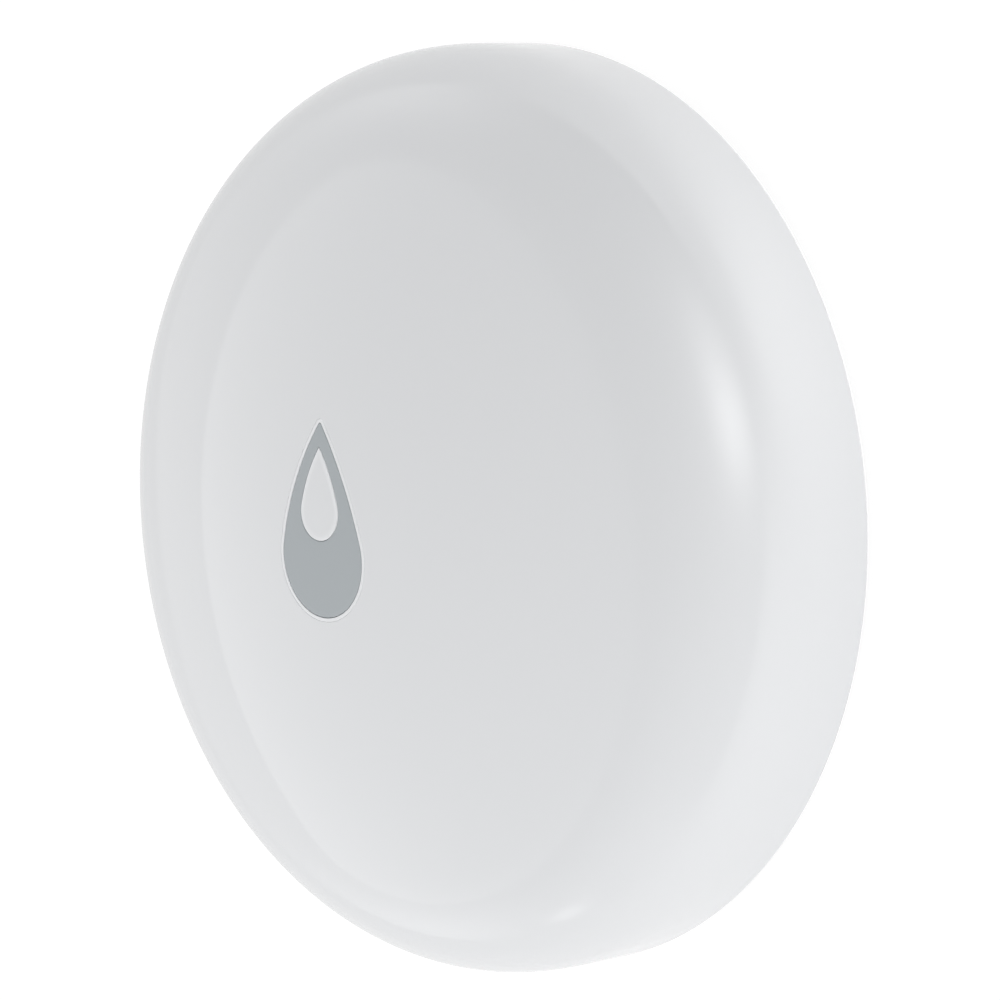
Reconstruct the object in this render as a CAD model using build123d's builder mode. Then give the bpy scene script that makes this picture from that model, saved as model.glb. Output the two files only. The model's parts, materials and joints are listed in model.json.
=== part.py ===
from build123d import *
import os
from math import asin, cos, degrees, radians, sin, sqrt

# A round, battery-powered water leak sensor. A one-piece domed cover snaps over a base with a twist-lock
# battery door, and a drop-shaped key in the middle of the dome presses a switch on the board below it.
# +Z is up and the dome faces up, as the sensor lies in use. The origin is on the floor under its centre,
# and the tip of the drop points along +Y. Lengths are in millimetres, angles in degrees.

# The whole body, worked out from the photograph's outline
body_diameter = 50.0
body_height = 15.0
stand_off = 0.5  # the feet and the probe heads stand this far below the underside
side_height = 3.94  # the upright part of the side, up to where the shoulder starts
shoulder_radius = 7.84  # from the side into the domed face
foot_edge = 0.4  # rounding of the cover's bottom edge

# Cover
cover_wall = 1.6
rim_wall = 1.1  # the thinner skirt that the base sits inside
pad_radius = 9.0  # flat seat under the dome that the key's membrane is clamped to
pad_land = 0.16  # how far the seat stands below the wall at its edge
cover_rib_width = 0.8
cover_rib_depth = 0.9
cover_rib_inset = 6.2  # from the body's edge to the ends of the ribs
cover_rib_count = 6
turn_rib_width = 2.0  # keeps the cover from turning on the base
turn_rib_reach = 1.5
turn_rib_angle = 30.0

# Drop-shaped key and its window, on the dome
drop_round = 3.15  # radius of the round bottom of the drop
drop_centre_y = -1.62
drop_tip_y = 5.45
drop_tip_radius = 0.1
flank_angle = 14.5  # where the long flanks leave the round bottom
window_round = 1.5
window_centre_y = 0.76
window_tip_y = 4.15
window_tip_radius = 0.06
key_gap = 0.03
key_edge = 0.05
window_edge = 0.05
key_travel = 0.25

# Silicone membrane under the key
lip_width = 0.2  # its upstanding lip shows as a pale line round the key
lip_gap = 0.02
membrane_gap = 0.3  # from the membrane's edge to the edge of its seat
membrane_sheet = 0.5
web_sheet = 0.3  # the thin part that bends
platform_inset = 0.9
nub_radius = 1.5
nub_length = 0.28

# Clamp ring that holds the membrane, staked to the cover
clamp_height = 1.0
clamp_bore = 6.2
stake_radius = 0.75
stake_gap = 0.1
stake_head_radius = 1.15
stake_head_height = 0.4
stake_count = 4

# Base
base_plate = 1.8
base_gap = 0.15
seat_gap = 0.05
base_edge = 0.25
spigot_gap = 0.6
spigot_wall = 1.8
spigot_height = 4.0
snap_count = 6
snap_span = 18.0
snap_bite = 0.3
snap_gap = 0.12
snap_height = 1.0
snap_land = 0.3
snap_drop = 0.2
well_wall = 1.2
well_height = 3.4
foot_length = 7.0
foot_width = 2.4
foot_inset = 3.45  # from the base's edge to the middle of a foot
foot_rounding = 0.2

# Seals, as moulded rings with bevelled edges
case_seal_section = 1.16
door_seal_section = 0.62
probe_seal_section = 0.46
seal_bevel = 0.12
seal_gap = 0.02
groove_slack = 0.12

# Battery door
door_flange = 1.35
door_flange_gap = 0.2
door_floor = 1.6
door_recess_wall = 1.1
door_groove_rim = 0.3
door_axial_gap = 0.05
boss_wall = 1.4
cell_gap = 0.4
lug_reach = 0.9
lug_height = 0.95
lug_count = 3
lug_span = 26.0
lug_angle = 20.0
lug_lead = 0.3
slot_spare_angle = 4.0
door_twist = 35.0
ledge_height = 1.1
ledge_gap = 0.2
stop_span = 4.0
stop_height = 1.0
coin_slot_length = 16.0
coin_slot_width = 2.0
coin_slot_depth = 1.0
cell_rib_radius = 6.5
cell_rib_width = 1.0
cell_rib_height = 0.4
mark_radius = 0.5
mark_depth = 0.2
mark_angle = 60.0
door_mark_inset = 1.1

# Coin cell, a 20 mm lithium cell 3.2 mm thick
cell_diameter = 20.0
cell_height = 3.2
can_sheet = 0.25
can_corner = 0.45
crimp_height = 2.85
crimp_reach = 0.9
cap_step = 0.35
cap_edge = 1.5
cell_gasket_wall = 0.35

# Circuit board
board_gap = 0.4
board_thickness = 1.0
board_to_cell = 1.2
post_radius = 2.4
post_inset = 2.8  # from the board's edge to the middle of a post
post_angles = (90.0, 210.0, 330.0)
pilot_radius = 0.85
pilot_floor = 0.5
post_rib_width = 0.8
post_rib_drop = 0.8
board_hole_gap = 0.25
screw_head_radius = 1.9
screw_head_height = 1.2
screw_head_rounding = 0.5
screw_length = 4.5
screw_gap = 0.01
cross_length = 1.9
cross_width = 0.4
cross_depth = 0.6

# Probes, which stand on the floor and sense the water between them
probe_inset = 2.8  # from the board's edge to the middle of a probe
probe_angles = (0.0, 180.0)
probe_head_radius = 2.3
probe_head_height = 1.0
probe_head_edge = 0.15
probe_recess_gap = 0.2
probe_shank_radius = 1.0
probe_shank_gap = 0.15
probe_boss_wall = 1.5
insert_radius = 1.75
insert_height = 2.8
insert_bottom_gap = 1.0
insert_groove_width = 0.5
insert_groove_depth = 0.2
insert_gap = 0.02

# Sprung contacts, cut from sheet
contact_sheet = 0.2
negative_pad_radius = 2.6
negative_arm_width = 1.6
negative_arm_reach = 6.4
negative_arm_tail = 0.8
negative_arm_lift = 0.35
negative_arm_count = 3
positive_pad_gap = 0.7
positive_pad_width = 1.2
positive_span = 64.0
positive_finger_width = 3.0
positive_finger_angle = 20.0
positive_finger_tail = 0.5
positive_angle = 90.0
door_clear = 0.35
probe_contact_width = 2.0
probe_contact_length = 4.0
contact_gap = 0.02

# Switch under the key: a common 6 mm push switch
switch_width = 6.0
switch_plate = 0.2
switch_y = -2.3
switch_corner = 0.4
stem_radius = 1.7
stem_gap = 0.05
stem_foot = 1.0
stem_rise = 1.1  # above the switch's body
switch_rivet_radius = 0.45
switch_rivet_height = 0.25
switch_rivet_inset = 0.75
nub_gap = 0.02

# Light, radio and the small parts on the board
led_length = 1.6
led_width = 0.8
led_base = 0.4
led_lens_radius = 0.35
led_y = 2.2
chip_width = 6.0
chip_height = 0.9
chip_x = -10.5
chip_y = 4.5
chip_edge = 0.15
crystal_length = 3.2
crystal_width = 2.5
crystal_height = 0.75
crystal_x = -10.5
crystal_y = -1.6
crystal_edge = 0.2
antenna_length = 9.0
antenna_width = 2.4
antenna_height = 1.2
antenna_inset = 3.2  # from the board's edge to the middle of the antenna
antenna_end = 0.9
antenna_step = 0.1
capacitor_length = 1.6
capacitor_width = 0.8
capacitor_height = 0.8
resistor_length = 1.6
resistor_width = 0.8
resistor_height = 0.45
row_gap = 0.9
resistor_x = 9.6
resistor_y = 0.5
resistor_count = 7
capacitor_x = 12.6
capacitor_y = 1.2
capacitor_count = 5
chip_row_gap = 1.2
chip_row_count = 3

# One overrun serves all cuts
overrun = 1.0

# Heights and radii that follow from these
body_radius = body_diameter / 2
underside = stand_off
top = underside + body_height
widest_z = underside + side_height
crown = top - widest_z
shoulder_centre = body_radius - shoulder_radius
# the dome's arc passes through the apex and meets the shoulder's arc smoothly
dome_radius = (shoulder_centre**2 + crown**2 - shoulder_radius**2) / (2 * (crown - shoulder_radius))
slope = degrees(asin(shoulder_centre / (dome_radius - shoulder_radius)))
face_edge_z = widest_z + shoulder_radius * cos(radians(slope))
cover_rib_end = body_radius - cover_rib_inset
cover_bore = body_radius - cover_wall
rim_bore = body_radius - rim_wall
plate_top = underside + base_plate
rim_top = plate_top + seat_gap
pad_drop = dome_radius - sqrt(dome_radius**2 - pad_radius**2)
pad_z = top - pad_drop - cover_wall - pad_land
base_radius = rim_bore - base_gap
spigot_outer = cover_bore - spigot_gap
spigot_inner = spigot_outer - spigot_wall
spigot_top = plate_top + spigot_height
snap_top = spigot_top - snap_drop
snap_low = snap_top - snap_height
snap_tip = cover_bore + snap_bite
turn_rib_length = turn_rib_reach + cover_wall / 2
turn_rib_circle = cover_bore + cover_wall / 2 - turn_rib_length / 2
foot_circle = base_radius - foot_inset
board_radius = spigot_inner - board_gap
post_circle = board_radius - post_inset
probe_circle = board_radius - probe_inset
antenna_y = antenna_inset - board_radius

cell_radius = cell_diameter / 2
door_boss_inner = cell_radius + cell_gap
door_boss_outer = door_boss_inner + boss_wall
lug_radius = door_boss_outer + lug_reach
ledge_bore = door_boss_outer + ledge_gap
well_inner = lug_radius + ledge_gap
well_outer = well_inner + well_wall
door_flange_top = underside + door_flange
recess_top = door_flange_top + door_axial_gap
ledge_top = recess_top + ledge_height
lug_low = ledge_top + door_axial_gap
door_boss_top = lug_low + lug_height
door_groove_inner = well_inner + door_groove_rim
door_groove_outer = door_groove_inner + door_seal_section + 2 * groove_slack
door_groove_floor = recess_top - door_seal_section - seal_gap
door_seal_radius = (door_groove_inner + door_groove_outer) / 2
door_flange_radius = door_groove_outer + door_groove_rim
door_recess_radius = door_flange_radius + door_flange_gap
well_foot = door_recess_radius + door_recess_wall
well_top = ledge_top + well_height
door_floor_top = underside + door_floor
cell_bottom = door_floor_top + cell_rib_height
cell_top = cell_bottom + cell_height
gasket_outer = cell_radius - can_sheet
cap_radius = cell_radius - cap_edge
board_bottom = cell_top + board_to_cell
positive_strip_radius = cell_radius + positive_pad_gap + positive_pad_width / 2
positive_touch_z = cell_bottom + crimp_height - can_corner
board_top = board_bottom + board_thickness
row_pitch = resistor_width + row_gap

probe_recess_top = underside + probe_head_height - stand_off + probe_seal_section + 2 * seal_gap
probe_seal_radius = (probe_shank_radius + probe_head_radius) / 2
insert_low = probe_recess_top + insert_bottom_gap
insert_top = insert_low + insert_height
case_seal_radius = cover_bore - seal_gap - case_seal_section / 2
case_seal_z = (plate_top + snap_low) / 2
mark_circle = (well_foot + spigot_inner) / 2
membrane_radius = pad_radius - membrane_gap
membrane_low = pad_z - membrane_sheet
clamp_low = membrane_low - clamp_height
stake_circle = (clamp_bore + membrane_radius) / 2
switch_top = membrane_low - nub_length - nub_gap
switch_body_top = switch_top - stem_rise
switch_body_height = switch_body_top - board_top


def dome_drop(radius):
    """How far the domed face lies below its apex at a distance from the middle."""
    return dome_radius - sqrt(dome_radius**2 - radius**2)


def radial_plane(angle, height=0):
    """An upright plane through the middle: its x points outwards at that angle and its y points up."""
    outwards = Vector(1, 0, 0).rotate(Axis.Z, angle)
    across = Vector(0, -1, 0).rotate(Axis.Z, angle)
    return Plane(origin=(0, 0, height), x_dir=outwards, z_dir=across)


def drop_sketch(centre_y, round_radius, tip_y, tip_radius, grow=0):
    """A drop: a round bottom, two long flank arcs that leave it smoothly, and a small round tip.

    Grow moves the whole outline outwards, so every arc keeps its centre and the flanks meet further out.
    """
    leave = Vector(cos(radians(flank_angle)), sin(radians(flank_angle)))
    flank_start = Vector(0, centre_y) + leave * round_radius
    from_tip = flank_start - Vector(0, tip_y)
    flank_radius = from_tip.dot(from_tip) / (2 * from_tip.dot(leave))
    flank_centre = flank_start - leave * flank_radius
    grown_tip_y = flank_centre.Y + sqrt((flank_radius + grow) ** 2 - flank_centre.X**2)
    with BuildSketch() as drop:
        with BuildLine():
            round_end = round_radius + grow
            bottom = CenterArc((0, centre_y), round_end, 180 - flank_angle, 180 + 2 * flank_angle)
            TangentArc(bottom @ 1, (0, grown_tip_y), tangent=bottom % 1)
            TangentArc(bottom @ 0, (0, grown_tip_y), tangent=(bottom % 0) * -1)
        make_face()
        fillet(drop.vertices().sort_by(Axis.Y)[-1], radius=max(tip_radius + grow, tip_radius))
    return drop.sketch


def key_drop(grow=0):
    """The key's own outline, or one a little larger or smaller."""
    return drop_sketch(drop_centre_y, drop_round, drop_tip_y, drop_tip_radius, grow)


def window_drop(grow=0):
    """The outline of the pale window inside the key."""
    return drop_sketch(window_centre_y, window_round, window_tip_y, window_tip_radius, grow)


def turned_block(points, span):
    """A piece of a ring about the Z axis, centred on +X, whose section has those corners."""
    with BuildPart() as block:
        with BuildSketch(radial_plane(-span / 2)):
            with BuildLine():
                Polyline(*points, close=True)
            make_face()
        revolve(axis=Axis.Z, revolution_arc=span)
    return block.part


def ring_block(inner, outer, low, high, span):
    """A piece of a ring with a rectangular section."""
    return turned_block([(inner, low), (outer, low), (outer, high), (inner, high)], span)


def bevelled_ring(radius, height, section):
    """A ring about the Z axis. Its section is a bevelled square, centred at that radius and height."""
    with BuildPart() as ring:
        with BuildSketch(Plane.XZ):
            with Locations((radius, height)):
                square = Rectangle(section, section)
            chamfer(square.vertices(), seal_bevel)
        revolve(axis=Axis.Z)
    return ring.part


def under_dome():
    """What lies under the domed face, down to the face's edge."""
    with BuildPart() as under:
        with BuildSketch(Plane.XZ):
            with BuildLine():
                face = JernArc((0, top), (1, 0), dome_radius, -slope)
                Polyline(face @ 1, (0, face_edge_z), (0, top))
            make_face()
        revolve(axis=Axis.Z)
    return under.part


os.makedirs("parts", exist_ok=True)

# Top cover: the dome, the shoulder and the whole side wall in one moulding
with BuildPart() as top_cover:
    with BuildSketch(Plane.XZ):
        with BuildLine():
            face = JernArc((0, top), (1, 0), dome_radius, -slope)
            shoulder = JernArc(face @ 1, face % 1, shoulder_radius, slope - 90)
            side = Line(shoulder @ 1, (body_radius, underside + foot_edge))
            foot = JernArc(side @ 1, (0, -1), foot_edge, -90)
            skirt = Polyline(foot @ 1, (rim_bore, underside), (rim_bore, rim_top), (cover_bore, rim_top))
            wall = Line(skirt @ 1, (cover_bore, widest_z))
            inner_shoulder = JernArc(wall @ 1, (0, 1), shoulder_radius - cover_wall, 90 - slope)
            inner_face = JernArc(inner_shoulder @ 1, inner_shoulder % 1, dome_radius - cover_wall, slope)
            Line(inner_face @ 1, face @ 0)
        make_face()
    revolve(axis=Axis.Z)

    # the flat pad that the membrane seats on reaches half way into the wall
    with BuildSketch(Plane.XZ):
        with BuildLine():
            Polyline(
                (0, pad_z),
                (pad_radius, pad_z),
                (pad_radius, top - dome_drop(pad_radius) - cover_wall / 2),
                (0, top - cover_wall / 2),
                close=True,
            )
        make_face()
    revolve(axis=Axis.Z)

    # groove that the base's teeth snap into
    with BuildSketch(Plane.XZ):
        with BuildLine():
            Polyline(
                (spigot_inner, snap_low - snap_gap),
                (snap_tip + snap_gap, snap_low - snap_gap),
                (snap_tip + snap_gap, snap_top + snap_gap),
                (spigot_inner, snap_top + snap_gap),
                close=True,
            )
        make_face()
    revolve(axis=Axis.Z, mode=Mode.SUBTRACT)

    # ribs under the dome, from the pad to the shoulder
    for rib in range(cover_rib_count):
        with BuildSketch(radial_plane(rib * 360 / cover_rib_count)):
            with BuildLine():
                Polyline(
                    (pad_radius - cover_rib_width, pad_z),
                    (pad_radius, pad_z),
                    (cover_rib_end, top - dome_drop(cover_rib_end) - cover_wall - cover_rib_depth),
                    (cover_rib_end, top - dome_drop(cover_rib_end) - cover_wall / 2),
                    (pad_radius - cover_rib_width, top - dome_drop(pad_radius) - cover_wall / 2),
                    close=True,
                )
            make_face()
        extrude(amount=cover_rib_width / 2, both=True)

    # one rib on the wall drops into a notch in the base, so that the cover can't turn
    with BuildSketch(Plane.XY.offset(snap_low)):
        with PolarLocations(turn_rib_circle, 1, start_angle=turn_rib_angle):
            Rectangle(turn_rib_length, turn_rib_width)
    extrude(amount=snap_height + spigot_gap)

    # opening for the key and the membrane's lip
    with BuildSketch(Plane.XY.offset(pad_z - overrun)):
        add(key_drop(key_gap + lip_width + lip_gap))
    extrude(amount=top - pad_z + 2 * overrun, mode=Mode.SUBTRACT)

    # posts that are melted over the clamp ring
    with BuildSketch(Plane.XY.offset(pad_z)):
        with PolarLocations(stake_circle, stake_count, start_angle=180 / stake_count):
            Circle(stake_radius)
    extrude(amount=clamp_low - pad_z)
    with BuildSketch(Plane.XY.offset(clamp_low)):
        with PolarLocations(stake_circle, stake_count, start_angle=180 / stake_count):
            Circle(stake_head_radius)
    extrude(amount=-stake_head_height, taper=30)
top_cover.part.label = "top_cover"
export_step(top_cover.part, "parts/top_cover.step")

# Drop key: a rigid button in the shape of a drop, open in the middle for its window
with BuildPart() as drop_key:
    with BuildSketch(Plane.XY.offset(pad_z)):
        add(key_drop())
        add(window_drop(lip_gap), mode=Mode.SUBTRACT)
    extrude(amount=top - pad_z + overrun)
    add(under_dome(), mode=Mode.INTERSECT)
    chamfer(drop_key.faces().sort_by(Axis.Z)[-1].edges(), length=key_edge)
drop_key.part.label = "drop_key"
export_step(drop_key.part, "parts/drop_key.step")

# Light window: the milky drop in the key that the light shines through
with BuildPart() as light_window:
    with BuildSketch(Plane.XY.offset(pad_z)):
        add(window_drop())
    extrude(amount=top - pad_z + overrun)
    add(under_dome(), mode=Mode.INTERSECT)
    chamfer(light_window.faces().sort_by(Axis.Z)[-1].edges(), length=window_edge)
light_window.part.label = "light_window"
export_step(light_window.part, "parts/light_window.step")

# Membrane: a silicone sheet with a lip round the key, a thin web that bends, and a nub over the switch
with BuildPart() as key_membrane:
    with BuildSketch(Plane.XY.offset(pad_z)):
        add(key_drop(key_gap + lip_width))
        add(key_drop(key_gap), mode=Mode.SUBTRACT)
    extrude(amount=top - pad_z + overrun)
    add(under_dome(), mode=Mode.INTERSECT)
    with BuildSketch(Plane.XY.offset(membrane_low)):
        Circle(membrane_radius)
        add(key_drop(key_gap), mode=Mode.SUBTRACT)
    extrude(amount=membrane_sheet)
    with BuildSketch(Plane.XY.offset(membrane_low)):
        add(key_drop(key_gap))
    extrude(amount=web_sheet)
    with BuildSketch(Plane.XY.offset(membrane_low)):
        add(key_drop(-platform_inset))
    extrude(amount=membrane_sheet)
    with BuildSketch(Plane.XY.offset(membrane_low)):
        with Locations((0, switch_y)):
            Circle(nub_radius)
    extrude(amount=-nub_length)
    with BuildSketch(Plane.XY.offset(membrane_low)):
        with PolarLocations(stake_circle, stake_count, start_angle=180 / stake_count):
            Circle(stake_radius + stake_gap)
    extrude(amount=membrane_sheet, mode=Mode.SUBTRACT)
key_membrane.part.label = "key_membrane"
export_step(key_membrane.part, "parts/key_membrane.step")

# Clamp ring: presses the membrane's edge against the pad
with BuildPart() as membrane_clamp:
    with BuildSketch(Plane.XY.offset(clamp_low)):
        Circle(membrane_radius)
        Circle(clamp_bore, mode=Mode.SUBTRACT)
        with PolarLocations(stake_circle, stake_count, start_angle=180 / stake_count):
            Circle(stake_radius + stake_gap, mode=Mode.SUBTRACT)
    extrude(amount=clamp_height)
membrane_clamp.part.label = "membrane_clamp"
export_step(membrane_clamp.part, "parts/membrane_clamp.step")

# Base: a plate in the cover's skirt, with the battery well, the bayonet ledge, the posts and the feet
with BuildPart() as base_housing:
    with BuildSketch(Plane.XZ):
        with BuildLine():
            Polyline(
                (ledge_bore, recess_top),
                (door_recess_radius, recess_top),
                (door_recess_radius, underside),
                (base_radius - base_edge, underside),
                (base_radius, underside + base_edge),
                (base_radius, plate_top),
                (spigot_outer, plate_top),
                (spigot_outer, spigot_top),
                (spigot_inner, spigot_top),
                (spigot_inner, plate_top),
                (well_foot, plate_top),
                (well_foot, ledge_top),
                (well_outer, ledge_top),
                (well_outer, well_top),
                (well_inner, well_top),
                (well_inner, ledge_top),
                (ledge_bore, ledge_top),
                close=True,
            )
        make_face()
    revolve(axis=Axis.Z)

    # groove for the case seal, round the spigot
    with BuildSketch(Plane.XZ):
        with Locations((case_seal_radius, case_seal_z)):
            Rectangle(case_seal_section + 2 * seal_gap, case_seal_section + 2 * groove_slack)
    revolve(axis=Axis.Z, mode=Mode.SUBTRACT)

    # teeth that snap into the cover's groove, sloped on top to slide in
    tooth = turned_block(
        [
            (spigot_outer - snap_land, snap_low),
            (snap_tip, snap_low),
            (snap_tip, snap_low + snap_land),
            (spigot_outer - snap_land, snap_top),
        ],
        snap_span,
    )
    for snap in range(snap_count):
        add(tooth, rotation=(0, 0, snap * 360 / snap_count))

    # notch for the cover's rib
    with BuildSketch(Plane.XY.offset(snap_low - snap_gap)):
        with PolarLocations(turn_rib_circle, 1, start_angle=turn_rib_angle):
            Rectangle(turn_rib_length + 2 * snap_gap, turn_rib_width + 2 * snap_gap)
    extrude(amount=snap_height + spigot_gap, mode=Mode.SUBTRACT)

    # gates in the bayonet ledge that the door's lugs pass through, and a stop at each end of their travel
    gate = ring_block(
        ledge_bore - overrun,
        lug_radius + ledge_gap / 2,
        recess_top - overrun,
        ledge_top + overrun,
        lug_span + slot_spare_angle,
    )
    stop = ring_block(ledge_bore, well_inner + well_wall / 2, ledge_top, ledge_top + stop_height, stop_span)
    stop_spare = lug_span / 2 + stop_span / 2 + slot_spare_angle / 2
    for lug in range(lug_count):
        turned = lug_angle + lug * 360 / lug_count
        add(gate, rotation=(0, 0, turned - door_twist), mode=Mode.SUBTRACT)
        add(stop, rotation=(0, 0, turned + stop_spare))
        add(stop, rotation=(0, 0, turned - door_twist - stop_spare))

    # posts for the board, with a rib to the spigot
    for angle in post_angles:
        with BuildSketch(Plane.XY.offset(plate_top)):
            with PolarLocations(post_circle, 1, start_angle=angle):
                Circle(post_radius)
        extrude(amount=board_bottom - plate_top)
        with BuildSketch(Plane.XY.offset(plate_top)):
            with PolarLocations((post_circle + spigot_inner + spigot_wall / 2) / 2, 1, start_angle=angle):
                Rectangle(spigot_inner + spigot_wall / 2 - post_circle, post_rib_width)
        extrude(amount=spigot_top - post_rib_drop - plate_top)
        with BuildSketch(Plane.XY.offset(plate_top + pilot_floor)):
            with PolarLocations(post_circle, 1, start_angle=angle):
                Circle(pilot_radius)
        extrude(amount=board_bottom - plate_top, mode=Mode.SUBTRACT)

    # probe bosses, bored for the inserts, with a recess below for the head and its seal
    for angle in probe_angles:
        with BuildSketch(Plane.XY.offset(plate_top)):
            with PolarLocations(probe_circle, 1, start_angle=angle):
                Circle(insert_radius + probe_boss_wall)
        extrude(amount=insert_top - plate_top)
        with BuildSketch(Plane.XY.offset(insert_low)):
            with PolarLocations(probe_circle, 1, start_angle=angle):
                Circle(insert_radius)
        extrude(amount=insert_height, mode=Mode.SUBTRACT)
        with BuildSketch(Plane.XY.offset(underside)):
            with PolarLocations(probe_circle, 1, start_angle=angle):
                Circle(probe_head_radius + probe_recess_gap)
        extrude(amount=probe_recess_top - underside, mode=Mode.SUBTRACT)
        with BuildSketch(Plane.XY.offset(underside)):
            with PolarLocations(probe_circle, 1, start_angle=angle):
                Circle(probe_shank_radius + probe_shank_gap)
        extrude(amount=insert_low + overrun - underside, mode=Mode.SUBTRACT)

    # two moulded feet, level with the probe heads
    with BuildSketch(Plane.XY.offset(underside)):
        with Locations((0, foot_circle), (0, -foot_circle)):
            SlotOverall(foot_length, foot_width)
    extrude(amount=-stand_off)
    fillet(base_housing.faces().sort_by(Axis.Z)[0].edges(), radius=foot_rounding)
    fillet(base_housing.faces().sort_by(Axis.Z)[1].edges(), radius=foot_rounding)

    # dots that show where the door is locked and where it is open
    with BuildSketch(Plane.XY.offset(underside)):
        with PolarLocations(mark_circle, 1, start_angle=mark_angle):
            Circle(mark_radius)
        with PolarLocations(mark_circle, 1, start_angle=mark_angle - door_twist):
            Circle(mark_radius)
            Circle(mark_radius / 2, mode=Mode.SUBTRACT)
    extrude(amount=mark_depth, mode=Mode.SUBTRACT)
base_housing.part.label = "base_housing"
export_step(base_housing.part, "parts/base_housing.step")

# Case seal: a ring in the spigot's groove, against the cover's wall
with BuildPart() as case_seal:
    add(bevelled_ring(case_seal_radius, case_seal_z, case_seal_section))
case_seal.part.label = "case_seal"
export_step(case_seal.part, "parts/case_seal.step")

# One bayonet lug, with a slope under each end that leads it on to the ledge
with BuildPart() as door_lug:
    add(ring_block(door_boss_outer - ledge_gap, lug_radius, lug_low, door_boss_top, lug_span))
    chamfer(door_lug.edges().filter_by(GeomType.LINE).group_by(Axis.Z)[0], length=lug_lead)

# Battery door: a flange, a ring that holds the cell, three bayonet lugs and a slot for a coin
with BuildPart() as battery_door:
    with BuildSketch(Plane.XZ):
        with BuildLine():
            Polyline(
                (0, underside),
                (door_flange_radius - base_edge, underside),
                (door_flange_radius, underside + base_edge),
                (door_flange_radius, door_flange_top),
                (door_groove_outer, door_flange_top),
                (door_groove_outer, door_groove_floor),
                (door_groove_inner, door_groove_floor),
                (door_groove_inner, door_flange_top),
                (door_boss_outer, door_flange_top),
                (door_boss_outer, door_boss_top),
                (door_boss_inner, door_boss_top),
                (door_boss_inner, door_floor_top),
                (cell_rib_radius, door_floor_top),
                (cell_rib_radius, cell_bottom),
                (cell_rib_radius - cell_rib_width, cell_bottom),
                (cell_rib_radius - cell_rib_width, door_floor_top),
                (0, door_floor_top),
                close=True,
            )
        make_face()
    revolve(axis=Axis.Z)

    for lug in range(lug_count):
        add(door_lug.part, rotation=(0, 0, lug_angle + lug * 360 / lug_count))

    # slot for a coin, and the dot that points at the base's dots
    with BuildSketch(Plane.XY.offset(underside)):
        SlotOverall(coin_slot_length, coin_slot_width)
    extrude(amount=coin_slot_depth, mode=Mode.SUBTRACT)
    with BuildSketch(Plane.XY.offset(underside)):
        with PolarLocations(door_flange_radius - door_mark_inset, 1, start_angle=mark_angle):
            Circle(mark_radius)
    extrude(amount=mark_depth, mode=Mode.SUBTRACT)
battery_door.part.label = "battery_door"
export_step(battery_door.part, "parts/battery_door.step")

# Door seal: a ring in the flange's groove that closes on the base
with BuildPart() as door_seal:
    add(bevelled_ring(door_seal_radius, door_groove_floor + door_seal_section / 2, door_seal_section))
door_seal.part.label = "door_seal"
export_step(door_seal.part, "parts/door_seal.step")

# Coin cell: a drawn can, which is the plus side and faces the door, a gasket, and a cap
with BuildPart() as coin_cell_can:
    with BuildSketch(Plane.XZ):
        with BuildLine():
            Polyline((0, cell_bottom), (cell_radius - can_corner, cell_bottom))
            JernArc((cell_radius - can_corner, cell_bottom), (1, 0), can_corner, 90)
            Polyline(
                (cell_radius, cell_bottom + can_corner),
                (cell_radius, cell_bottom + crimp_height),
                (cell_radius - crimp_reach, cell_bottom + crimp_height + can_sheet),
                (cell_radius - crimp_reach, cell_bottom + crimp_height),
                (cell_radius - can_sheet, cell_bottom + crimp_height - can_sheet),
                (cell_radius - can_sheet, cell_bottom + can_sheet),
                (0, cell_bottom + can_sheet),
                (0, cell_bottom),
            )
        make_face()
    revolve(axis=Axis.Z)
coin_cell_can.part.label = "coin_cell_can"
export_step(coin_cell_can.part, "parts/coin_cell_can.step")

with BuildPart() as coin_cell_gasket:
    with BuildSketch(Plane.XZ):
        with BuildLine():
            Polyline(
                (gasket_outer - cell_gasket_wall, cell_bottom + can_sheet),
                (gasket_outer, cell_bottom + can_sheet),
                (gasket_outer, cell_bottom + crimp_height - can_sheet),
                (cell_radius - crimp_reach, cell_bottom + crimp_height),
                (cell_radius - crimp_reach, cell_bottom + crimp_height + can_sheet),
                (cap_radius, cell_bottom + crimp_height + can_sheet),
                (cap_radius, cell_bottom + crimp_height - cap_step),
                (gasket_outer - cell_gasket_wall, cell_bottom + crimp_height - 2 * cap_step),
                close=True,
            )
        make_face()
    revolve(axis=Axis.Z)
coin_cell_gasket.part.label = "coin_cell_gasket"
export_step(coin_cell_gasket.part, "parts/coin_cell_gasket.step")

# the cap is solid, because nothing opens a cell
with BuildPart() as coin_cell_cap:
    with BuildSketch(Plane.XZ):
        with BuildLine():
            Polyline(
                (0, cell_bottom + can_sheet),
                (gasket_outer - cell_gasket_wall, cell_bottom + can_sheet),
                (gasket_outer - cell_gasket_wall, cell_bottom + crimp_height - 2 * cap_step),
                (cap_radius, cell_bottom + crimp_height - cap_step),
                (cap_radius, cell_top - can_corner / 2),
                (cap_radius - can_corner / 2, cell_top),
                (0, cell_top),
                close=True,
            )
        make_face()
    revolve(axis=Axis.Z)
coin_cell_cap.part.label = "coin_cell_cap"
export_step(coin_cell_cap.part, "parts/coin_cell_cap.step")

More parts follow.
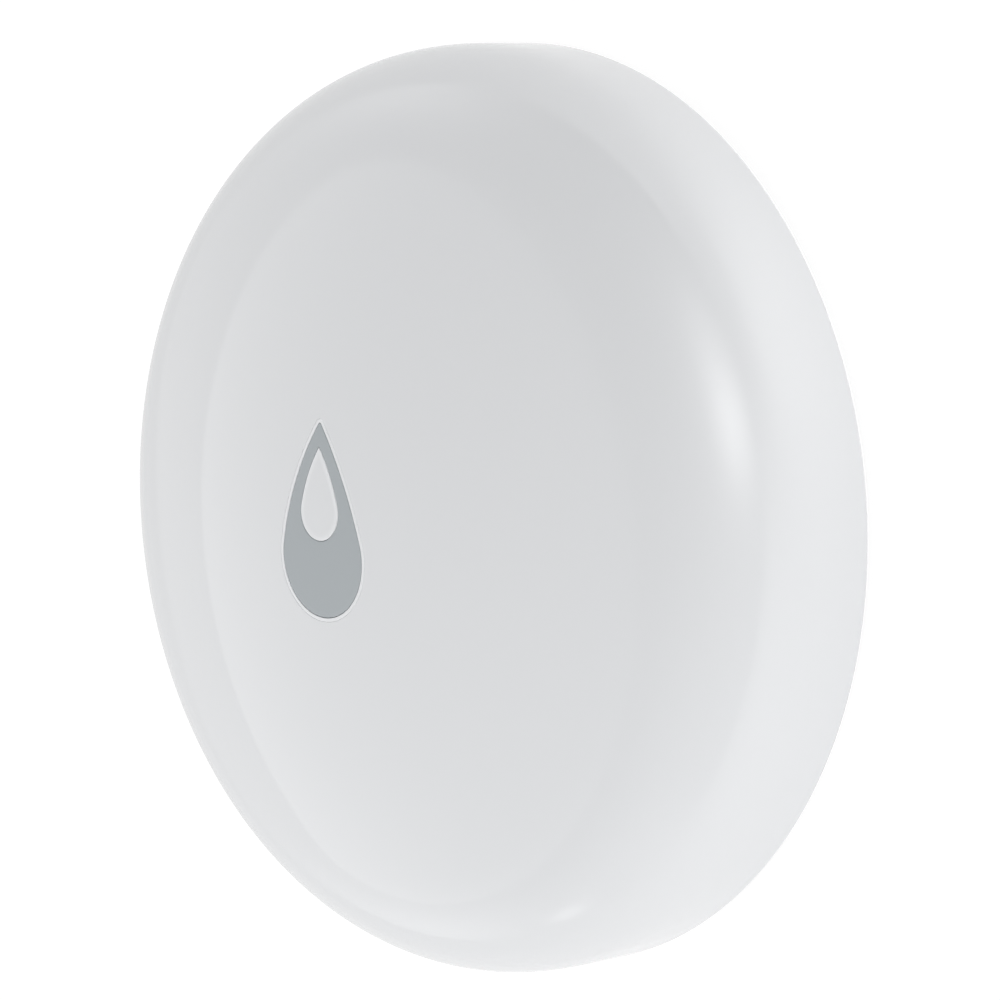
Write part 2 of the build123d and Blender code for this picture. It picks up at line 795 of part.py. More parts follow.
# Negative contact: a pad under the board with sprung arms that press on the cap
with BuildPart() as negative_contact:
    with BuildSketch(Plane.XY.offset(board_bottom)):
        Circle(negative_pad_radius)
    extrude(amount=-contact_sheet)
    for arm in range(negative_arm_count):
        with BuildSketch(radial_plane(arm * 360 / negative_arm_count)):
            with BuildLine():
                Polyline(
                    (0, board_bottom - contact_sheet / 2),
                    (negative_pad_radius, board_bottom - contact_sheet / 2),
                    (negative_arm_reach, cell_top + contact_gap + contact_sheet / 2),
                    (negative_arm_reach + negative_arm_tail, cell_top + negative_arm_lift),
                )
            trace(line_width=contact_sheet)
        extrude(amount=negative_arm_width / 2, both=True)
negative_contact.part.label = "negative_contact"
export_step(negative_contact.part, "parts/negative_contact.step")

# Positive contact: a curved strip under the board with two fingers that spring against the can's side
with BuildPart() as positive_contact:
    strip = ring_block(
        positive_strip_radius - positive_pad_width / 2,
        positive_strip_radius + positive_pad_width / 2,
        board_bottom - contact_sheet,
        board_bottom,
        positive_span,
    )
    add(strip, rotation=(0, 0, positive_angle))
    for side in (-1, 1):
        with BuildSketch(radial_plane(positive_angle + side * positive_finger_angle)):
            with BuildLine():
                Polyline(
                    (positive_strip_radius + positive_pad_width / 2, board_bottom - contact_sheet / 2),
                    (positive_strip_radius, board_bottom - contact_sheet / 2),
                    (cell_radius + contact_gap + contact_sheet / 2, positive_touch_z),
                    (cell_radius + positive_finger_tail, door_boss_top + door_clear),
                )
            trace(line_width=contact_sheet)
        extrude(amount=positive_finger_width / 2, both=True)
positive_contact.part.label = "positive_contact"
export_step(positive_contact.part, "parts/positive_contact.step")

# Circuit board, held on the base's posts
with BuildPart() as circuit_board:
    with BuildSketch(Plane.XY.offset(board_bottom)):
        Circle(board_radius)
        for angle in post_angles:
            with PolarLocations(post_circle, 1, start_angle=angle):
                Circle(pilot_radius + board_hole_gap, mode=Mode.SUBTRACT)
    extrude(amount=board_thickness)
circuit_board.part.label = "circuit_board"
export_step(circuit_board.part, "parts/circuit_board.step")

# Board screws: small pan heads with a cross recess
with BuildPart() as board_screw:
    with BuildSketch(Plane.XY.offset(board_top)):
        Circle(screw_head_radius)
    extrude(amount=screw_head_height)
    fillet(board_screw.edges().sort_by(Axis.Z)[-1], radius=screw_head_rounding)
    with BuildSketch(Plane.XY.offset(board_top)):
        Circle(pilot_radius - screw_gap)
    extrude(amount=-screw_length)
    with BuildSketch(Plane.XY.offset(board_top + screw_head_height)):
        Rectangle(cross_length, cross_width)
        Rectangle(cross_width, cross_length)
    extrude(amount=-cross_depth, mode=Mode.SUBTRACT)
with BuildPart() as board_screws:
    for angle in post_angles:
        with PolarLocations(post_circle, 1, start_angle=angle):
            add(board_screw.part)
board_screws.part.label = "board_screws"
export_step(board_screws.part, "parts/board_screws.step")

# Probes: screws whose heads stand on the floor, each with a seal under its head and an insert above
with BuildPart() as probe_screw:
    with BuildSketch():
        Circle(probe_head_radius)
    extrude(amount=probe_head_height)
    chamfer(probe_screw.edges().sort_by(Axis.Z)[0], length=probe_head_edge)
    with BuildSketch(Plane.XY.offset(probe_head_height)):
        Circle(probe_shank_radius)
    extrude(amount=insert_top - probe_head_height)
    with BuildSketch():
        Rectangle(cross_length, cross_width)
        Rectangle(cross_width, cross_length)
    extrude(amount=cross_depth, mode=Mode.SUBTRACT)
with BuildPart() as probe_screws:
    for angle in probe_angles:
        with PolarLocations(probe_circle, 1, start_angle=angle):
            add(probe_screw.part)
probe_screws.part.label = "probe_screws"
export_step(probe_screws.part, "parts/probe_screws.step")

probe_seal = bevelled_ring(probe_seal_radius, (probe_head_height + probe_recess_top) / 2, probe_seal_section)
with BuildPart() as probe_seals:
    for angle in probe_angles:
        with PolarLocations(probe_circle, 1, start_angle=angle):
            add(probe_seal)
probe_seals.part.label = "probe_seals"
export_step(probe_seals.part, "parts/probe_seals.step")

with BuildPart() as probe_insert:
    with BuildSketch(Plane.XZ):
        with BuildLine():
            Polyline(
                (probe_shank_radius + insert_gap, insert_low),
                (insert_radius, insert_low),
                (insert_radius, (insert_low + insert_top - insert_groove_width) / 2),
                (insert_radius - insert_groove_depth, (insert_low + insert_top - insert_groove_width) / 2),
                (insert_radius - insert_groove_depth, (insert_low + insert_top + insert_groove_width) / 2),
                (insert_radius, (insert_low + insert_top + insert_groove_width) / 2),
                (insert_radius, insert_top),
                (probe_shank_radius + insert_gap, insert_top),
                close=True,
            )
        make_face()
    revolve(axis=Axis.Z)
with BuildPart() as probe_inserts:
    for angle in probe_angles:
        with PolarLocations(probe_circle, 1, start_angle=angle):
            add(probe_insert.part)
probe_inserts.part.label = "probe_inserts"
export_step(probe_inserts.part, "parts/probe_inserts.step")

# Probe contacts: bent strips from the board's underside down to each insert and its screw
with BuildPart() as probe_contacts:
    for angle in probe_angles:
        with BuildSketch(radial_plane(angle)):
            with BuildLine():
                Polyline(
                    (probe_circle + probe_contact_length / 2, board_bottom - contact_sheet / 2),
                    (probe_circle - probe_contact_length / 2, board_bottom - contact_sheet / 2),
                    (probe_circle - probe_shank_radius, insert_top + contact_gap + contact_sheet / 2),
                    (probe_circle + probe_shank_radius, insert_top + contact_gap + contact_sheet / 2),
                    (probe_circle + insert_radius, insert_top + 2 * contact_sheet),
                )
            trace(line_width=contact_sheet)
        extrude(amount=probe_contact_width / 2, both=True)
probe_contacts.part.label = "probe_contacts"
export_step(probe_contacts.part, "parts/probe_contacts.step")

# Push switch: a square body with a bore for its stem and four rivets that hold its metal plate
rivet_pitch = switch_width - 2 * switch_rivet_inset
with BuildPart() as switch_body:
    with BuildSketch(Plane.XY.offset(board_top)):
        with Locations((0, switch_y)):
            body_outline = Rectangle(switch_width, switch_width)
        chamfer(body_outline.vertices(), switch_corner)
    extrude(amount=switch_body_height)
    with BuildSketch(Plane.XY.offset(switch_body_top)):
        with Locations((0, switch_y)):
            with GridLocations(rivet_pitch, rivet_pitch, 2, 2):
                Circle(switch_rivet_radius)
    extrude(amount=switch_plate + switch_rivet_height)
    with BuildSketch(Plane.XY.offset(switch_body_top)):
        with Locations((0, switch_y)):
            Circle(stem_radius + stem_gap)
    extrude(amount=-stem_foot - key_travel - stem_gap, mode=Mode.SUBTRACT)
switch_body.part.label = "switch_body"
export_step(switch_body.part, "parts/switch_body.step")

with BuildPart() as switch_plate_part:
    with BuildSketch(Plane.XY.offset(switch_body_top)):
        with Locations((0, switch_y)):
            RectangleRounded(switch_width, switch_width, switch_corner)
            Circle(stem_radius + stem_gap, mode=Mode.SUBTRACT)
            with GridLocations(rivet_pitch, rivet_pitch, 2, 2):
                Circle(switch_rivet_radius + screw_gap, mode=Mode.SUBTRACT)
    extrude(amount=switch_plate)
switch_plate_part.part.label = "switch_plate"
export_step(switch_plate_part.part, "parts/switch_plate.step")

with BuildPart() as switch_stem:
    with BuildSketch(Plane.XY.offset(switch_body_top - stem_foot)):
        with Locations((0, switch_y)):
            Circle(stem_radius)
    extrude(amount=switch_top - switch_body_top + stem_foot)
    chamfer(switch_stem.edges().sort_by(Axis.Z)[-1], length=switch_corner / 2)
switch_stem.part.label = "switch_stem"
export_step(switch_stem.part, "parts/switch_stem.step")

# Light under the window
with BuildPart() as status_led:
    with BuildSketch(Plane.XY.offset(board_top)):
        with Locations((0, led_y)):
            Rectangle(led_length, led_width)
    extrude(amount=led_base)
    with BuildSketch(Plane.XY.offset(board_top + led_base)):
        with Locations((0, led_y)):
            Circle(led_lens_radius)
    extrude(amount=led_lens_radius)
    fillet(status_led.edges().sort_by(Axis.Z)[-1], radius=led_lens_radius / 2)
status_led.part.label = "status_led"
export_step(status_led.part, "parts/status_led.step")

# Radio chip, its crystal and its ceramic antenna
with BuildPart() as radio_chip:
    with BuildSketch(Plane.XY.offset(board_top)):
        with Locations((chip_x, chip_y)):
            Rectangle(chip_width, chip_width)
    extrude(amount=chip_height)
    chamfer(radio_chip.faces().sort_by(Axis.Z)[-1].edges(), length=chip_edge)
radio_chip.part.label = "radio_chip"
export_step(radio_chip.part, "parts/radio_chip.step")

with BuildPart() as crystal:
    with BuildSketch(Plane.XY.offset(board_top)):
        with Locations((crystal_x, crystal_y)):
            RectangleRounded(crystal_length, crystal_width, crystal_edge)
    extrude(amount=crystal_height)
crystal.part.label = "crystal"
export_step(crystal.part, "parts/crystal.step")

with BuildPart() as antenna:
    with BuildSketch(Plane.XY.offset(board_top)):
        with Locations((0, antenna_y)):
            Rectangle(antenna_length, antenna_width)
    extrude(amount=antenna_height)
    with BuildSketch(Plane.XY.offset(board_top + antenna_height)):
        with Locations((0, antenna_y)):
            Rectangle(antenna_length - 2 * antenna_end, antenna_width)
    extrude(amount=-antenna_step, mode=Mode.SUBTRACT)
antenna.part.label = "antenna"
export_step(antenna.part, "parts/antenna.step")

with BuildPart() as resistors:
    with BuildSketch(Plane.XY.offset(board_top)):
        with Locations((resistor_x, resistor_y)):
            with GridLocations(row_pitch, row_pitch, 1, resistor_count):
                Rectangle(resistor_length, resistor_width)
    extrude(amount=resistor_height)
resistors.part.label = "resistors"
export_step(resistors.part, "parts/resistors.step")

with BuildPart() as capacitors:
    with BuildSketch(Plane.XY.offset(board_top)):
        with Locations((capacitor_x, capacitor_y)):
            with GridLocations(row_pitch, row_pitch, 1, capacitor_count):
                Rectangle(capacitor_length, capacitor_width)
        with Locations((chip_x, chip_y + chip_width / 2 + chip_row_gap)):
            with GridLocations(row_pitch, row_pitch, chip_row_count, 1):
                Rectangle(capacitor_width, capacitor_length)
    extrude(amount=capacitor_height)
capacitors.part.label = "capacitors"
export_step(capacitors.part, "parts/capacitors.step")
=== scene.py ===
import json
from math import asin, cos, degrees, radians, sin

import bmesh
import bpy
import numpy as np
from mathutils import Matrix, Vector


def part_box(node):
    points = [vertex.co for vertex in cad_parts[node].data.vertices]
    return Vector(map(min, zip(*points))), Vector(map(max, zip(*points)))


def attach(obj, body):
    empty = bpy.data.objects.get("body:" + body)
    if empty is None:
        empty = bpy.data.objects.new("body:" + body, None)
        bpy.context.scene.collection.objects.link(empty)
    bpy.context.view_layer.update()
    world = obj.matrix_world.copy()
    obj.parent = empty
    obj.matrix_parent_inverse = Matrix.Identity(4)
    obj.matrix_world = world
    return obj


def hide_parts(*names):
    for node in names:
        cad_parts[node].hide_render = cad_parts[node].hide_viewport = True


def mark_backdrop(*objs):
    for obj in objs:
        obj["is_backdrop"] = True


# %% [markdown]
# # A water leak sensor
#
# The object is a small white puck with a shallow dome. A grey drop sits in the middle of the dome, and a
# pale drop sits inside the grey one. Everything else is under the cover.
#
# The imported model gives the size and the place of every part. Here each part gets its finish, and the
# parts that face the camera are made again as fine, smooth surfaces, because gloss shows every facet.

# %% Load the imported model
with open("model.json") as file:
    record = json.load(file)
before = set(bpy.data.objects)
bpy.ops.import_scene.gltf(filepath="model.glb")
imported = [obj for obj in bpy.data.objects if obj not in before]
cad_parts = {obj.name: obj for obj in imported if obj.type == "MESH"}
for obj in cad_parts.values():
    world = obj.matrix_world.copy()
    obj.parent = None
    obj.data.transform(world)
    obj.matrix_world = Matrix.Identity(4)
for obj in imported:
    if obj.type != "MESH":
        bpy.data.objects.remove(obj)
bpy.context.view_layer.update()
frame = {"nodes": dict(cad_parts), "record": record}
nodes = frame["nodes"]

# %% [markdown]
# ## Sizes
#
# Blender's scenes are in metres, but a puck this small is easier to think about in millimetres. The sizes
# below are the cover's own, in millimetres, and `MM` turns them into metres where a mesh is made. Some that
# the imported model already knows, the cover's radius and underside and the key's foot, are read from it, so
# the two can't drift apart.

# %% Sizes of the cover, in millimetres
MM = 0.001
cover_low, cover_high = (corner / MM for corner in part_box("top_cover"))
BODY_RADIUS = cover_high.x
UNDERSIDE = cover_low.z
BODY_HEIGHT = 15.0
TOP = UNDERSIDE + BODY_HEIGHT
SIDE_HEIGHT = 3.94
SHOULDER_RADIUS = 7.84
FOOT_EDGE = 0.4
WALL = 1.6
RIM_WALL = 1.1
RIM_HEIGHT = 1.85
RIM_TOP = UNDERSIDE + RIM_HEIGHT
PAD_RADIUS = 9.0
PAD_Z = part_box("drop_key")[0].z / MM
print(f"Cover: radius {BODY_RADIUS:.2f} mm, from {UNDERSIDE:.2f} to {TOP:.2f} mm above the floor")

# %% [markdown]
# ## The camera
#
# The photograph was taken from a little above, from the object's +X side, with the camera turned nearly a
# quarter turn about its own axis. Four numbers hold that view: how far the puck's face leans away from the
# camera, how the leaning is rolled, how the drop is turned on the face, and how far the camera stands off.
# They were fitted to the outline of the puck. From them come the three axes of the puck as the camera sees
# them, and the matrix that holds those axes, turned round, is the camera's own place in the puck's frame.

# %% Camera
CAMERA_TILT = radians(48.15)
CAMERA_ROLL = radians(6.07)
DROP_LEAN = radians(6.38)
CAMERA_DISTANCE = 212.9
BODY_ASIDE = 1.711
BODY_BELOW = 0.217
PIXELS_PER_MM = 18.332
IMAGE_PIXELS = 1000
SENSOR = 36.0


def puck_axes():
    """The puck's x, y and z axes in the camera's frame, whose x points right, y down and z away.

    The z axis leans by the tilt and is rolled about the line of sight. The x and y axes lie in the puck's
    face, turned by the lean of the drop.
    """
    lean = sin(CAMERA_TILT)
    normal = Vector((-lean * cos(CAMERA_ROLL), lean * sin(CAMERA_ROLL), -cos(CAMERA_TILT)))
    upwards = Vector((-sin(CAMERA_ROLL), -cos(CAMERA_ROLL), 0))
    upwards = (upwards - normal * upwards.dot(normal)).normalized()
    right = upwards.cross(normal)
    x_axis = right * cos(DROP_LEAN) - upwards * sin(DROP_LEAN)
    y_axis = right * sin(DROP_LEAN) + upwards * cos(DROP_LEAN)
    return Matrix((x_axis, y_axis, normal))


def new_object(name, data):
    """An object of a mesh or a camera, put into the scene at the origin."""
    made = bpy.data.objects.new(name, data)
    bpy.context.scene.collection.objects.link(made)
    return made


to_puck = puck_axes()
camera_place = to_puck @ -Vector((BODY_ASIDE, BODY_BELOW, CAMERA_DISTANCE)) + Vector((0, 0, UNDERSIDE))
camera_axes = [to_puck @ Vector(axis) for axis in ((1, 0, 0), (0, -1, 0), (0, 0, -1))]
camera_data = bpy.data.cameras.new("camera")
camera_data.sensor_width = SENSOR
camera_data.lens = PIXELS_PER_MM * CAMERA_DISTANCE * SENSOR / IMAGE_PIXELS
camera_data.clip_start = 0.01
camera = new_object("camera", camera_data)
camera.matrix_world = Matrix.Translation(camera_place * MM) @ Matrix(camera_axes).transposed().to_4x4()
bpy.context.scene.camera = camera
print("The camera stands at", [round(c) for c in camera_place], "mm, lens", round(camera_data.lens), "mm")

# %% [markdown]
# ## From a formula to a mesh
#
# Every new surface here is a grid: rows go one way over the surface and columns go the other. A function
# works out all the points at once, as one array with a row, a column and three coordinates. `grid_mesh` gives
# that array to Blender. Rows or columns that close on themselves are joined, and a row that has shrunk to a
# single point would leave a hole with a seam in it, so a cap closes such an end with one face.

# %% A helper that makes a mesh of a grid of points
def grid_mesh(name, points, close_rows=True, cap_first=False, cap_last=False):
    """Make a smooth mesh of points[row, column], in millimetres. Columns always close on themselves.

    The face between four neighbours is (row, column), (row, next), (next row, next), (next row, column).
    close_rows joins the last row to the first. A cap is one flat face over the first or the last row.
    """
    rows, columns, _ = points.shape
    index = np.arange(rows * columns).reshape(rows, columns)
    if close_rows:
        index = np.vstack([index, index[:1]])
    beside = np.roll(index, -1, axis=1)
    quads = np.stack([index[:-1], beside[:-1], beside[1:], index[1:]], axis=-1).reshape(-1, 4)
    faces = quads.tolist()
    if cap_first:
        faces.append(index[0, ::-1].tolist())
    if cap_last:
        faces.append(index[-1].tolist())
    mesh = bpy.data.meshes.new(name)
    mesh.from_pydata((points.reshape(-1, 3) * MM).tolist(), [], faces)
    mesh.shade_smooth()
    mesh.validate()
    return new_object(name, mesh)


# %% [markdown]
# ## The outline of a drop
#
# Both drops are the same kind of curve: a round bottom, two long flanks and a small round tip. All of these
# are arcs that meet smoothly, and each arc keeps its centre when the outline grows. So the outline needs
# only two arrays, the points and the directions that point straight out from them. An outline that is wider
# by some distance is then the points plus that distance times the directions, exactly.

# %% Drop outlines
FLANK_ANGLE = radians(14.5)
ARC_POINTS = {"bottom": 120, "flank": 84, "tip": 48}


def drop_outline(centre_y, round_radius, tip_y, tip_radius):
    """Points and outward directions round a drop, anticlockwise from the left end of its round bottom.

    The flank's arc leaves the round bottom at the flank angle and would reach (0, tip_y). The tip's arc is
    tangent to both flanks, so its centre is the flank's radius less its own from the flank's centre.
    """
    leave = np.array([cos(FLANK_ANGLE), sin(FLANK_ANGLE)])
    start = np.array([0, centre_y]) + leave * round_radius
    from_tip = start - np.array([0, tip_y])
    flank_radius = from_tip @ from_tip / (2 * from_tip @ leave)
    flank_centre = start - leave * flank_radius
    tip_centre_y = flank_centre[1] + np.sqrt((flank_radius - tip_radius) ** 2 - flank_centre[0] ** 2)
    meet = np.arctan2(tip_centre_y - flank_centre[1], -flank_centre[0])
    mirrored = flank_centre * (-1, 1)
    arcs = (
        ((0, centre_y), round_radius, np.pi - FLANK_ANGLE, 2 * np.pi + FLANK_ANGLE, ARC_POINTS["bottom"]),
        (flank_centre, flank_radius, FLANK_ANGLE, meet, ARC_POINTS["flank"]),
        ((0, tip_centre_y), tip_radius, meet, np.pi - meet, ARC_POINTS["tip"]),
        (mirrored, flank_radius, np.pi - meet, np.pi - FLANK_ANGLE, ARC_POINTS["flank"]),
    )
    points, directions = [], []
    for centre, radius, first, last, count in arcs:
        angle = np.linspace(first, last, count, endpoint=False)
        direction = np.stack([np.cos(angle), np.sin(angle)], axis=-1)
        directions.append(direction)
        points.append(np.array(centre) + radius * direction)
    return np.vstack(points), np.vstack(directions)


KEY_OUTLINE = drop_outline(centre_y=-1.62, round_radius=3.15, tip_y=5.45, tip_radius=0.1)
WINDOW_OUTLINE = drop_outline(centre_y=0.76, round_radius=1.5, tip_y=4.15, tip_radius=0.06)
KEY_GAP = 0.03
LIP_WIDTH = 0.2
LIP_GAP = 0.005
OPENING_GROW = KEY_GAP + LIP_WIDTH + LIP_GAP
print("The key's drop is", np.ptp(KEY_OUTLINE[0], axis=0).round(2), "mm wide and long")


# %% [markdown]
# ## The dome
#
# The face of the puck is a shallow part of a large ball, and a rounder shoulder leads from it into the
# upright side. Seen in section, both are arcs that touch without a corner. Two circles touch so when the
# distance between their centres is the difference of their radii, and that gives the ball's radius. Any piece
# whose top lies in the face takes its height from `dome_height`, so that the cover and both drops make one
# surface.

# %% Height of the domed face
WIDEST_Z = UNDERSIDE + SIDE_HEIGHT
CROWN = TOP - WIDEST_Z
SHOULDER_CENTRE = BODY_RADIUS - SHOULDER_RADIUS
DOME_RADIUS = (SHOULDER_CENTRE**2 + CROWN**2 - SHOULDER_RADIUS**2) / (2 * (CROWN - SHOULDER_RADIUS))
SLOPE = asin(SHOULDER_CENTRE / (DOME_RADIUS - SHOULDER_RADIUS))
print(f"The dome's ball has a radius of {DOME_RADIUS:.1f} mm, and it ends at {degrees(SLOPE):.1f} degrees")


def dome_height(x, y, below=0.0):
    """Height of the face at a place: the ball's own height there, less the ball's radius, plus the top.

    A place on a face that lies lower by a wall's thickness is on a smaller ball with the same centre.
    """
    ball = DOME_RADIUS - below
    return TOP - DOME_RADIUS + np.sqrt(ball**2 - x**2 - y**2)


def on_dome(outline, grow, sunk=0.0):
    """One row of points on the domed face, along an outline that is grown by some distance."""
    flat = outline[0] + grow * outline[1]
    return np.column_stack([flat, dome_height(flat[:, 0], flat[:, 1]) - sunk])


def rows_between(edge, goal, shares):
    """Rows on the domed face that lead from an edge to a goal, which is another row or a single point.

    Each row is the mean of the two, weighted by its share of the way.
    """
    rows = []
    for share in shares:
        flat = edge * (1 - share) + goal * share
        rows.append(np.column_stack([flat, dome_height(flat[:, 0], flat[:, 1])]))
    return rows


def at_height(outline, grow, height):
    """One level row of points along a grown outline."""
    flat = outline[0] + grow * outline[1]
    return np.column_stack([flat, np.full(len(flat), height)])


def rounded_edge(outline, grow, radius, outwards, steps=6):
    """Rows that turn an upright wall into the domed face over a small quarter round.

    The angle goes from the wall, where the row lies one radius below the face, to the face, where the row
    lies one radius beside the wall. outwards is 1 where the face lies outside the outline and -1 inside it.
    """
    rows = []
    for angle in np.linspace(0, np.pi / 2, steps):
        aside = outwards * radius * (1 - np.cos(angle))
        rows.append(on_dome(outline, grow + aside, radius * (1 - np.sin(angle))))
    return rows


# %% [markdown]
# ## The top cover
#
# One moulding makes the dome, the shoulder and the whole side wall. A lathe would turn most of it, but the
# opening in the middle is a drop, not a circle. So the rows start as drops at the edge of the opening, change
# over the first few millimetres into circles, and from there follow the turned profile: out along the dome,
# round the shoulder, down the wall, under the foot and back up the inside.
#
# Gloss shows not only corners but also sudden changes of curvature, as a line in the reflection. The polished
# mould of the real cover has no such line, so the section's heading is averaged over a few millimetres, which
# makes every bend begin and end gradually. It moves no point by more than a few hundredths of a millimetre.

# %% Profile and surface of the cover
BORE = BODY_RADIUS - WALL
RIM_BORE = BODY_RADIUS - RIM_WALL
OPENING_EDGE = 0.02
BEND_WINDOW = 3.0
OUTER_ROWS = 96
ROWS_BY_LENGTH = 1.0
ROWS_BY_TURN = 20.0
WALK_PLACES = 1200
FINE_ARC = 400
ROWS_TO_CIRCLE = 26


def arc(centre, radius, first, last, count):
    """Points (distance from the axis, height) on an arc, without its last point."""
    angle = np.linspace(first, last, count, endpoint=False)
    return np.column_stack([centre[0] + radius * np.cos(angle), centre[1] + radius * np.sin(angle)])


def line(start, end, count):
    """Evenly spaced points from start to end, without the end."""
    share = np.linspace(0, 1, count, endpoint=False)[:, None]
    return np.array(start) * (1 - share) + np.array(end) * share


def read_between(places, along, points):
    """The points at some places along a section, in between those that are given."""
    return np.column_stack([np.interp(places, along, points[:, way]) for way in (0, 1)])


def with_gradual_bends(points, window, count):
    """Walk along a section in equal steps whose heading is the mean of the headings within a window, in mm.

    The last point is brought back to where it was by a share of the error that grows along the walk. Rows are
    picked so that each has the same share of the length plus the turning, so bends get more of them.
    """
    along = np.concatenate([[0], np.cumsum(np.hypot(*np.diff(points, axis=0).T))])
    places = np.linspace(0, along[-1], WALK_PLACES)
    even = read_between(places, along, points)
    step = places[1]
    heading = np.arctan2(*np.diff(even, axis=0).T[::-1])
    half = round(window / step / 2)
    weights = np.ones(2 * half + 1) / (2 * half + 1)
    mean = np.convolve(np.pad(heading, half, "reflect", reflect_type="odd"), weights, "valid")
    steps = step * np.column_stack([np.cos(mean), np.sin(mean)])
    walked = even[0] + np.vstack([[0, 0], np.cumsum(steps, axis=0)])
    walked += (places / places[-1])[:, None] * (even[-1] - walked[-1])
    turning = np.abs(np.diff(mean, prepend=mean[0]))
    effort = np.concatenate([[0], np.cumsum(step * ROWS_BY_LENGTH + turning * ROWS_BY_TURN)])
    return read_between(np.linspace(0, effort[-1], count, endpoint=False), effort, walked)


def cover_profile():
    """The cover's section from the middle of the face, round the outside and back along the inside."""
    ball = (0, TOP - DOME_RADIUS)
    shoulder = (SHOULDER_CENTRE, WIDEST_Z)
    foot = (BODY_RADIUS - FOOT_EDGE, UNDERSIDE + FOOT_EDGE)
    upright = np.pi / 2
    first_slope = asin(PAD_RADIUS / DOME_RADIUS)
    inner_slope = asin(PAD_RADIUS / (DOME_RADIUS - WALL))
    outside = np.vstack([
        arc(ball, DOME_RADIUS, upright - first_slope, upright - SLOPE, FINE_ARC),
        arc(shoulder, SHOULDER_RADIUS, upright - SLOPE, 0, FINE_ARC),
        [[BODY_RADIUS, WIDEST_Z], [BODY_RADIUS, foot[1]]],
    ])
    pad_edge = TOP - DOME_RADIUS + (DOME_RADIUS - WALL) * cos(inner_slope)
    return np.vstack([
        with_gradual_bends(outside, BEND_WINDOW, OUTER_ROWS),
        arc(foot, FOOT_EDGE, 0, -upright, 10),
        line((foot[0], UNDERSIDE), (RIM_BORE, UNDERSIDE), 2),
        line((RIM_BORE, UNDERSIDE), (RIM_BORE, RIM_TOP), 4),
        line((RIM_BORE, RIM_TOP), (BORE, RIM_TOP), 2),
        line((BORE, RIM_TOP), (BORE, WIDEST_Z), 4),
        arc(shoulder, SHOULDER_RADIUS - WALL, 0, upright - SLOPE, 24),
        arc(ball, DOME_RADIUS - WALL, upright - SLOPE, upright - inner_slope, 10),
        [[PAD_RADIUS, pad_edge], [PAD_RADIUS, PAD_Z]],
    ])


def cover_points():
    """Rows from the opening's wall, over the face, round the turned profile and back to the opening.

    Each column has a direction on the circle half way between the direction of its point on the drop and
    the direction in which the drop's wall faces there, which spreads the columns evenly enough. Between drop
    and circle a row is the mean of both, weighted by a share that starts and ends gently.
    """
    flat, outward = KEY_OUTLINE
    place_angle = np.unwrap(np.arctan2(flat[:, 1], flat[:, 0]))
    wall_angle = np.unwrap(np.arctan2(outward[:, 1], outward[:, 0]))
    full_turns = np.round((place_angle[0] - wall_angle[0]) / (2 * np.pi))
    angle = (place_angle + wall_angle + 2 * np.pi * full_turns) / 2
    circle = np.stack([np.cos(angle), np.sin(angle)], axis=-1)
    rows = rounded_edge(KEY_OUTLINE, OPENING_GROW, OPENING_EDGE, outwards=1)
    edge = flat + (OPENING_GROW + OPENING_EDGE) * outward
    rows += rows_between(edge, circle * PAD_RADIUS, np.linspace(0, 1, ROWS_TO_CIRCLE)[1:-1] ** 1.5)
    turned = [np.column_stack([circle * r, np.full(len(circle), z)]) for r, z in cover_profile()]
    return np.array(rows + turned + [at_height(KEY_OUTLINE, OPENING_GROW, PAD_Z)])


top_cover = grid_mesh("cover_shell", cover_points()[::-1])
print("Cover shell:", len(top_cover.data.polygons), "faces")

# %% [markdown]
# ## The grey drop, its pale window and the silicone lip
#
# The grey drop is the key that a finger presses. The pale drop inside it is a milky window for the light
# under it. Each is a plug with a domed top and a small rounded edge. The rows of a plug run from its foot up
# its wall, round the edge and in to the middle of its top. The key has a hole for the window, so its rows
# come back down that hole.
#
# Under the key lies a moulded silicone membrane, which keeps water out. Its lip stands up round the key and
# is the thin pale line in the photograph. Its middle carries the key and goes down with it, so it is a piece
# of its own that rides the key, and a nub under it works the switch.

# %% Key, window and lip
KEY_EDGE = 0.05
WINDOW_GAP = 0.02
WINDOW_EDGE = 0.05
LIP_EDGE = 0.03
MEMBRANE_RADIUS = 8.7
MEMBRANE_SHEET = 0.5
TOUCH_GAP = 0.01
WEB_SHEET = 0.3
PLATFORM_INSET = 0.9
NUB_RADIUS = 1.5
NUB_LENGTH = 0.28
MEMBRANE_LOW = PAD_Z - MEMBRANE_SHEET
MEMBRANE_TOP = PAD_Z - TOUCH_GAP
WEB_TOP = MEMBRANE_LOW + WEB_SHEET
NUB_LOW = MEMBRANE_LOW - NUB_LENGTH
KEY_ROWS = 16
WINDOW_ROWS = 14
WINDOW_MIDDLE = (0, 1.2)


def key_points():
    """The key: up its outer wall, over its edge, across the top to the window's hole and down the hole."""
    rows = [at_height(KEY_OUTLINE, 0, PAD_Z)] + rounded_edge(KEY_OUTLINE, 0, KEY_EDGE, outwards=-1)
    outer = KEY_OUTLINE[0] - KEY_EDGE * KEY_OUTLINE[1]
    inner = WINDOW_OUTLINE[0] + (WINDOW_GAP + KEY_EDGE) * WINDOW_OUTLINE[1]
    rows += rows_between(outer, inner, np.linspace(0, 1, KEY_ROWS)[1:-1])
    rows += rounded_edge(WINDOW_OUTLINE, WINDOW_GAP, KEY_EDGE, outwards=1)[::-1]
    return np.array(rows + [at_height(WINDOW_OUTLINE, WINDOW_GAP, PAD_Z)])


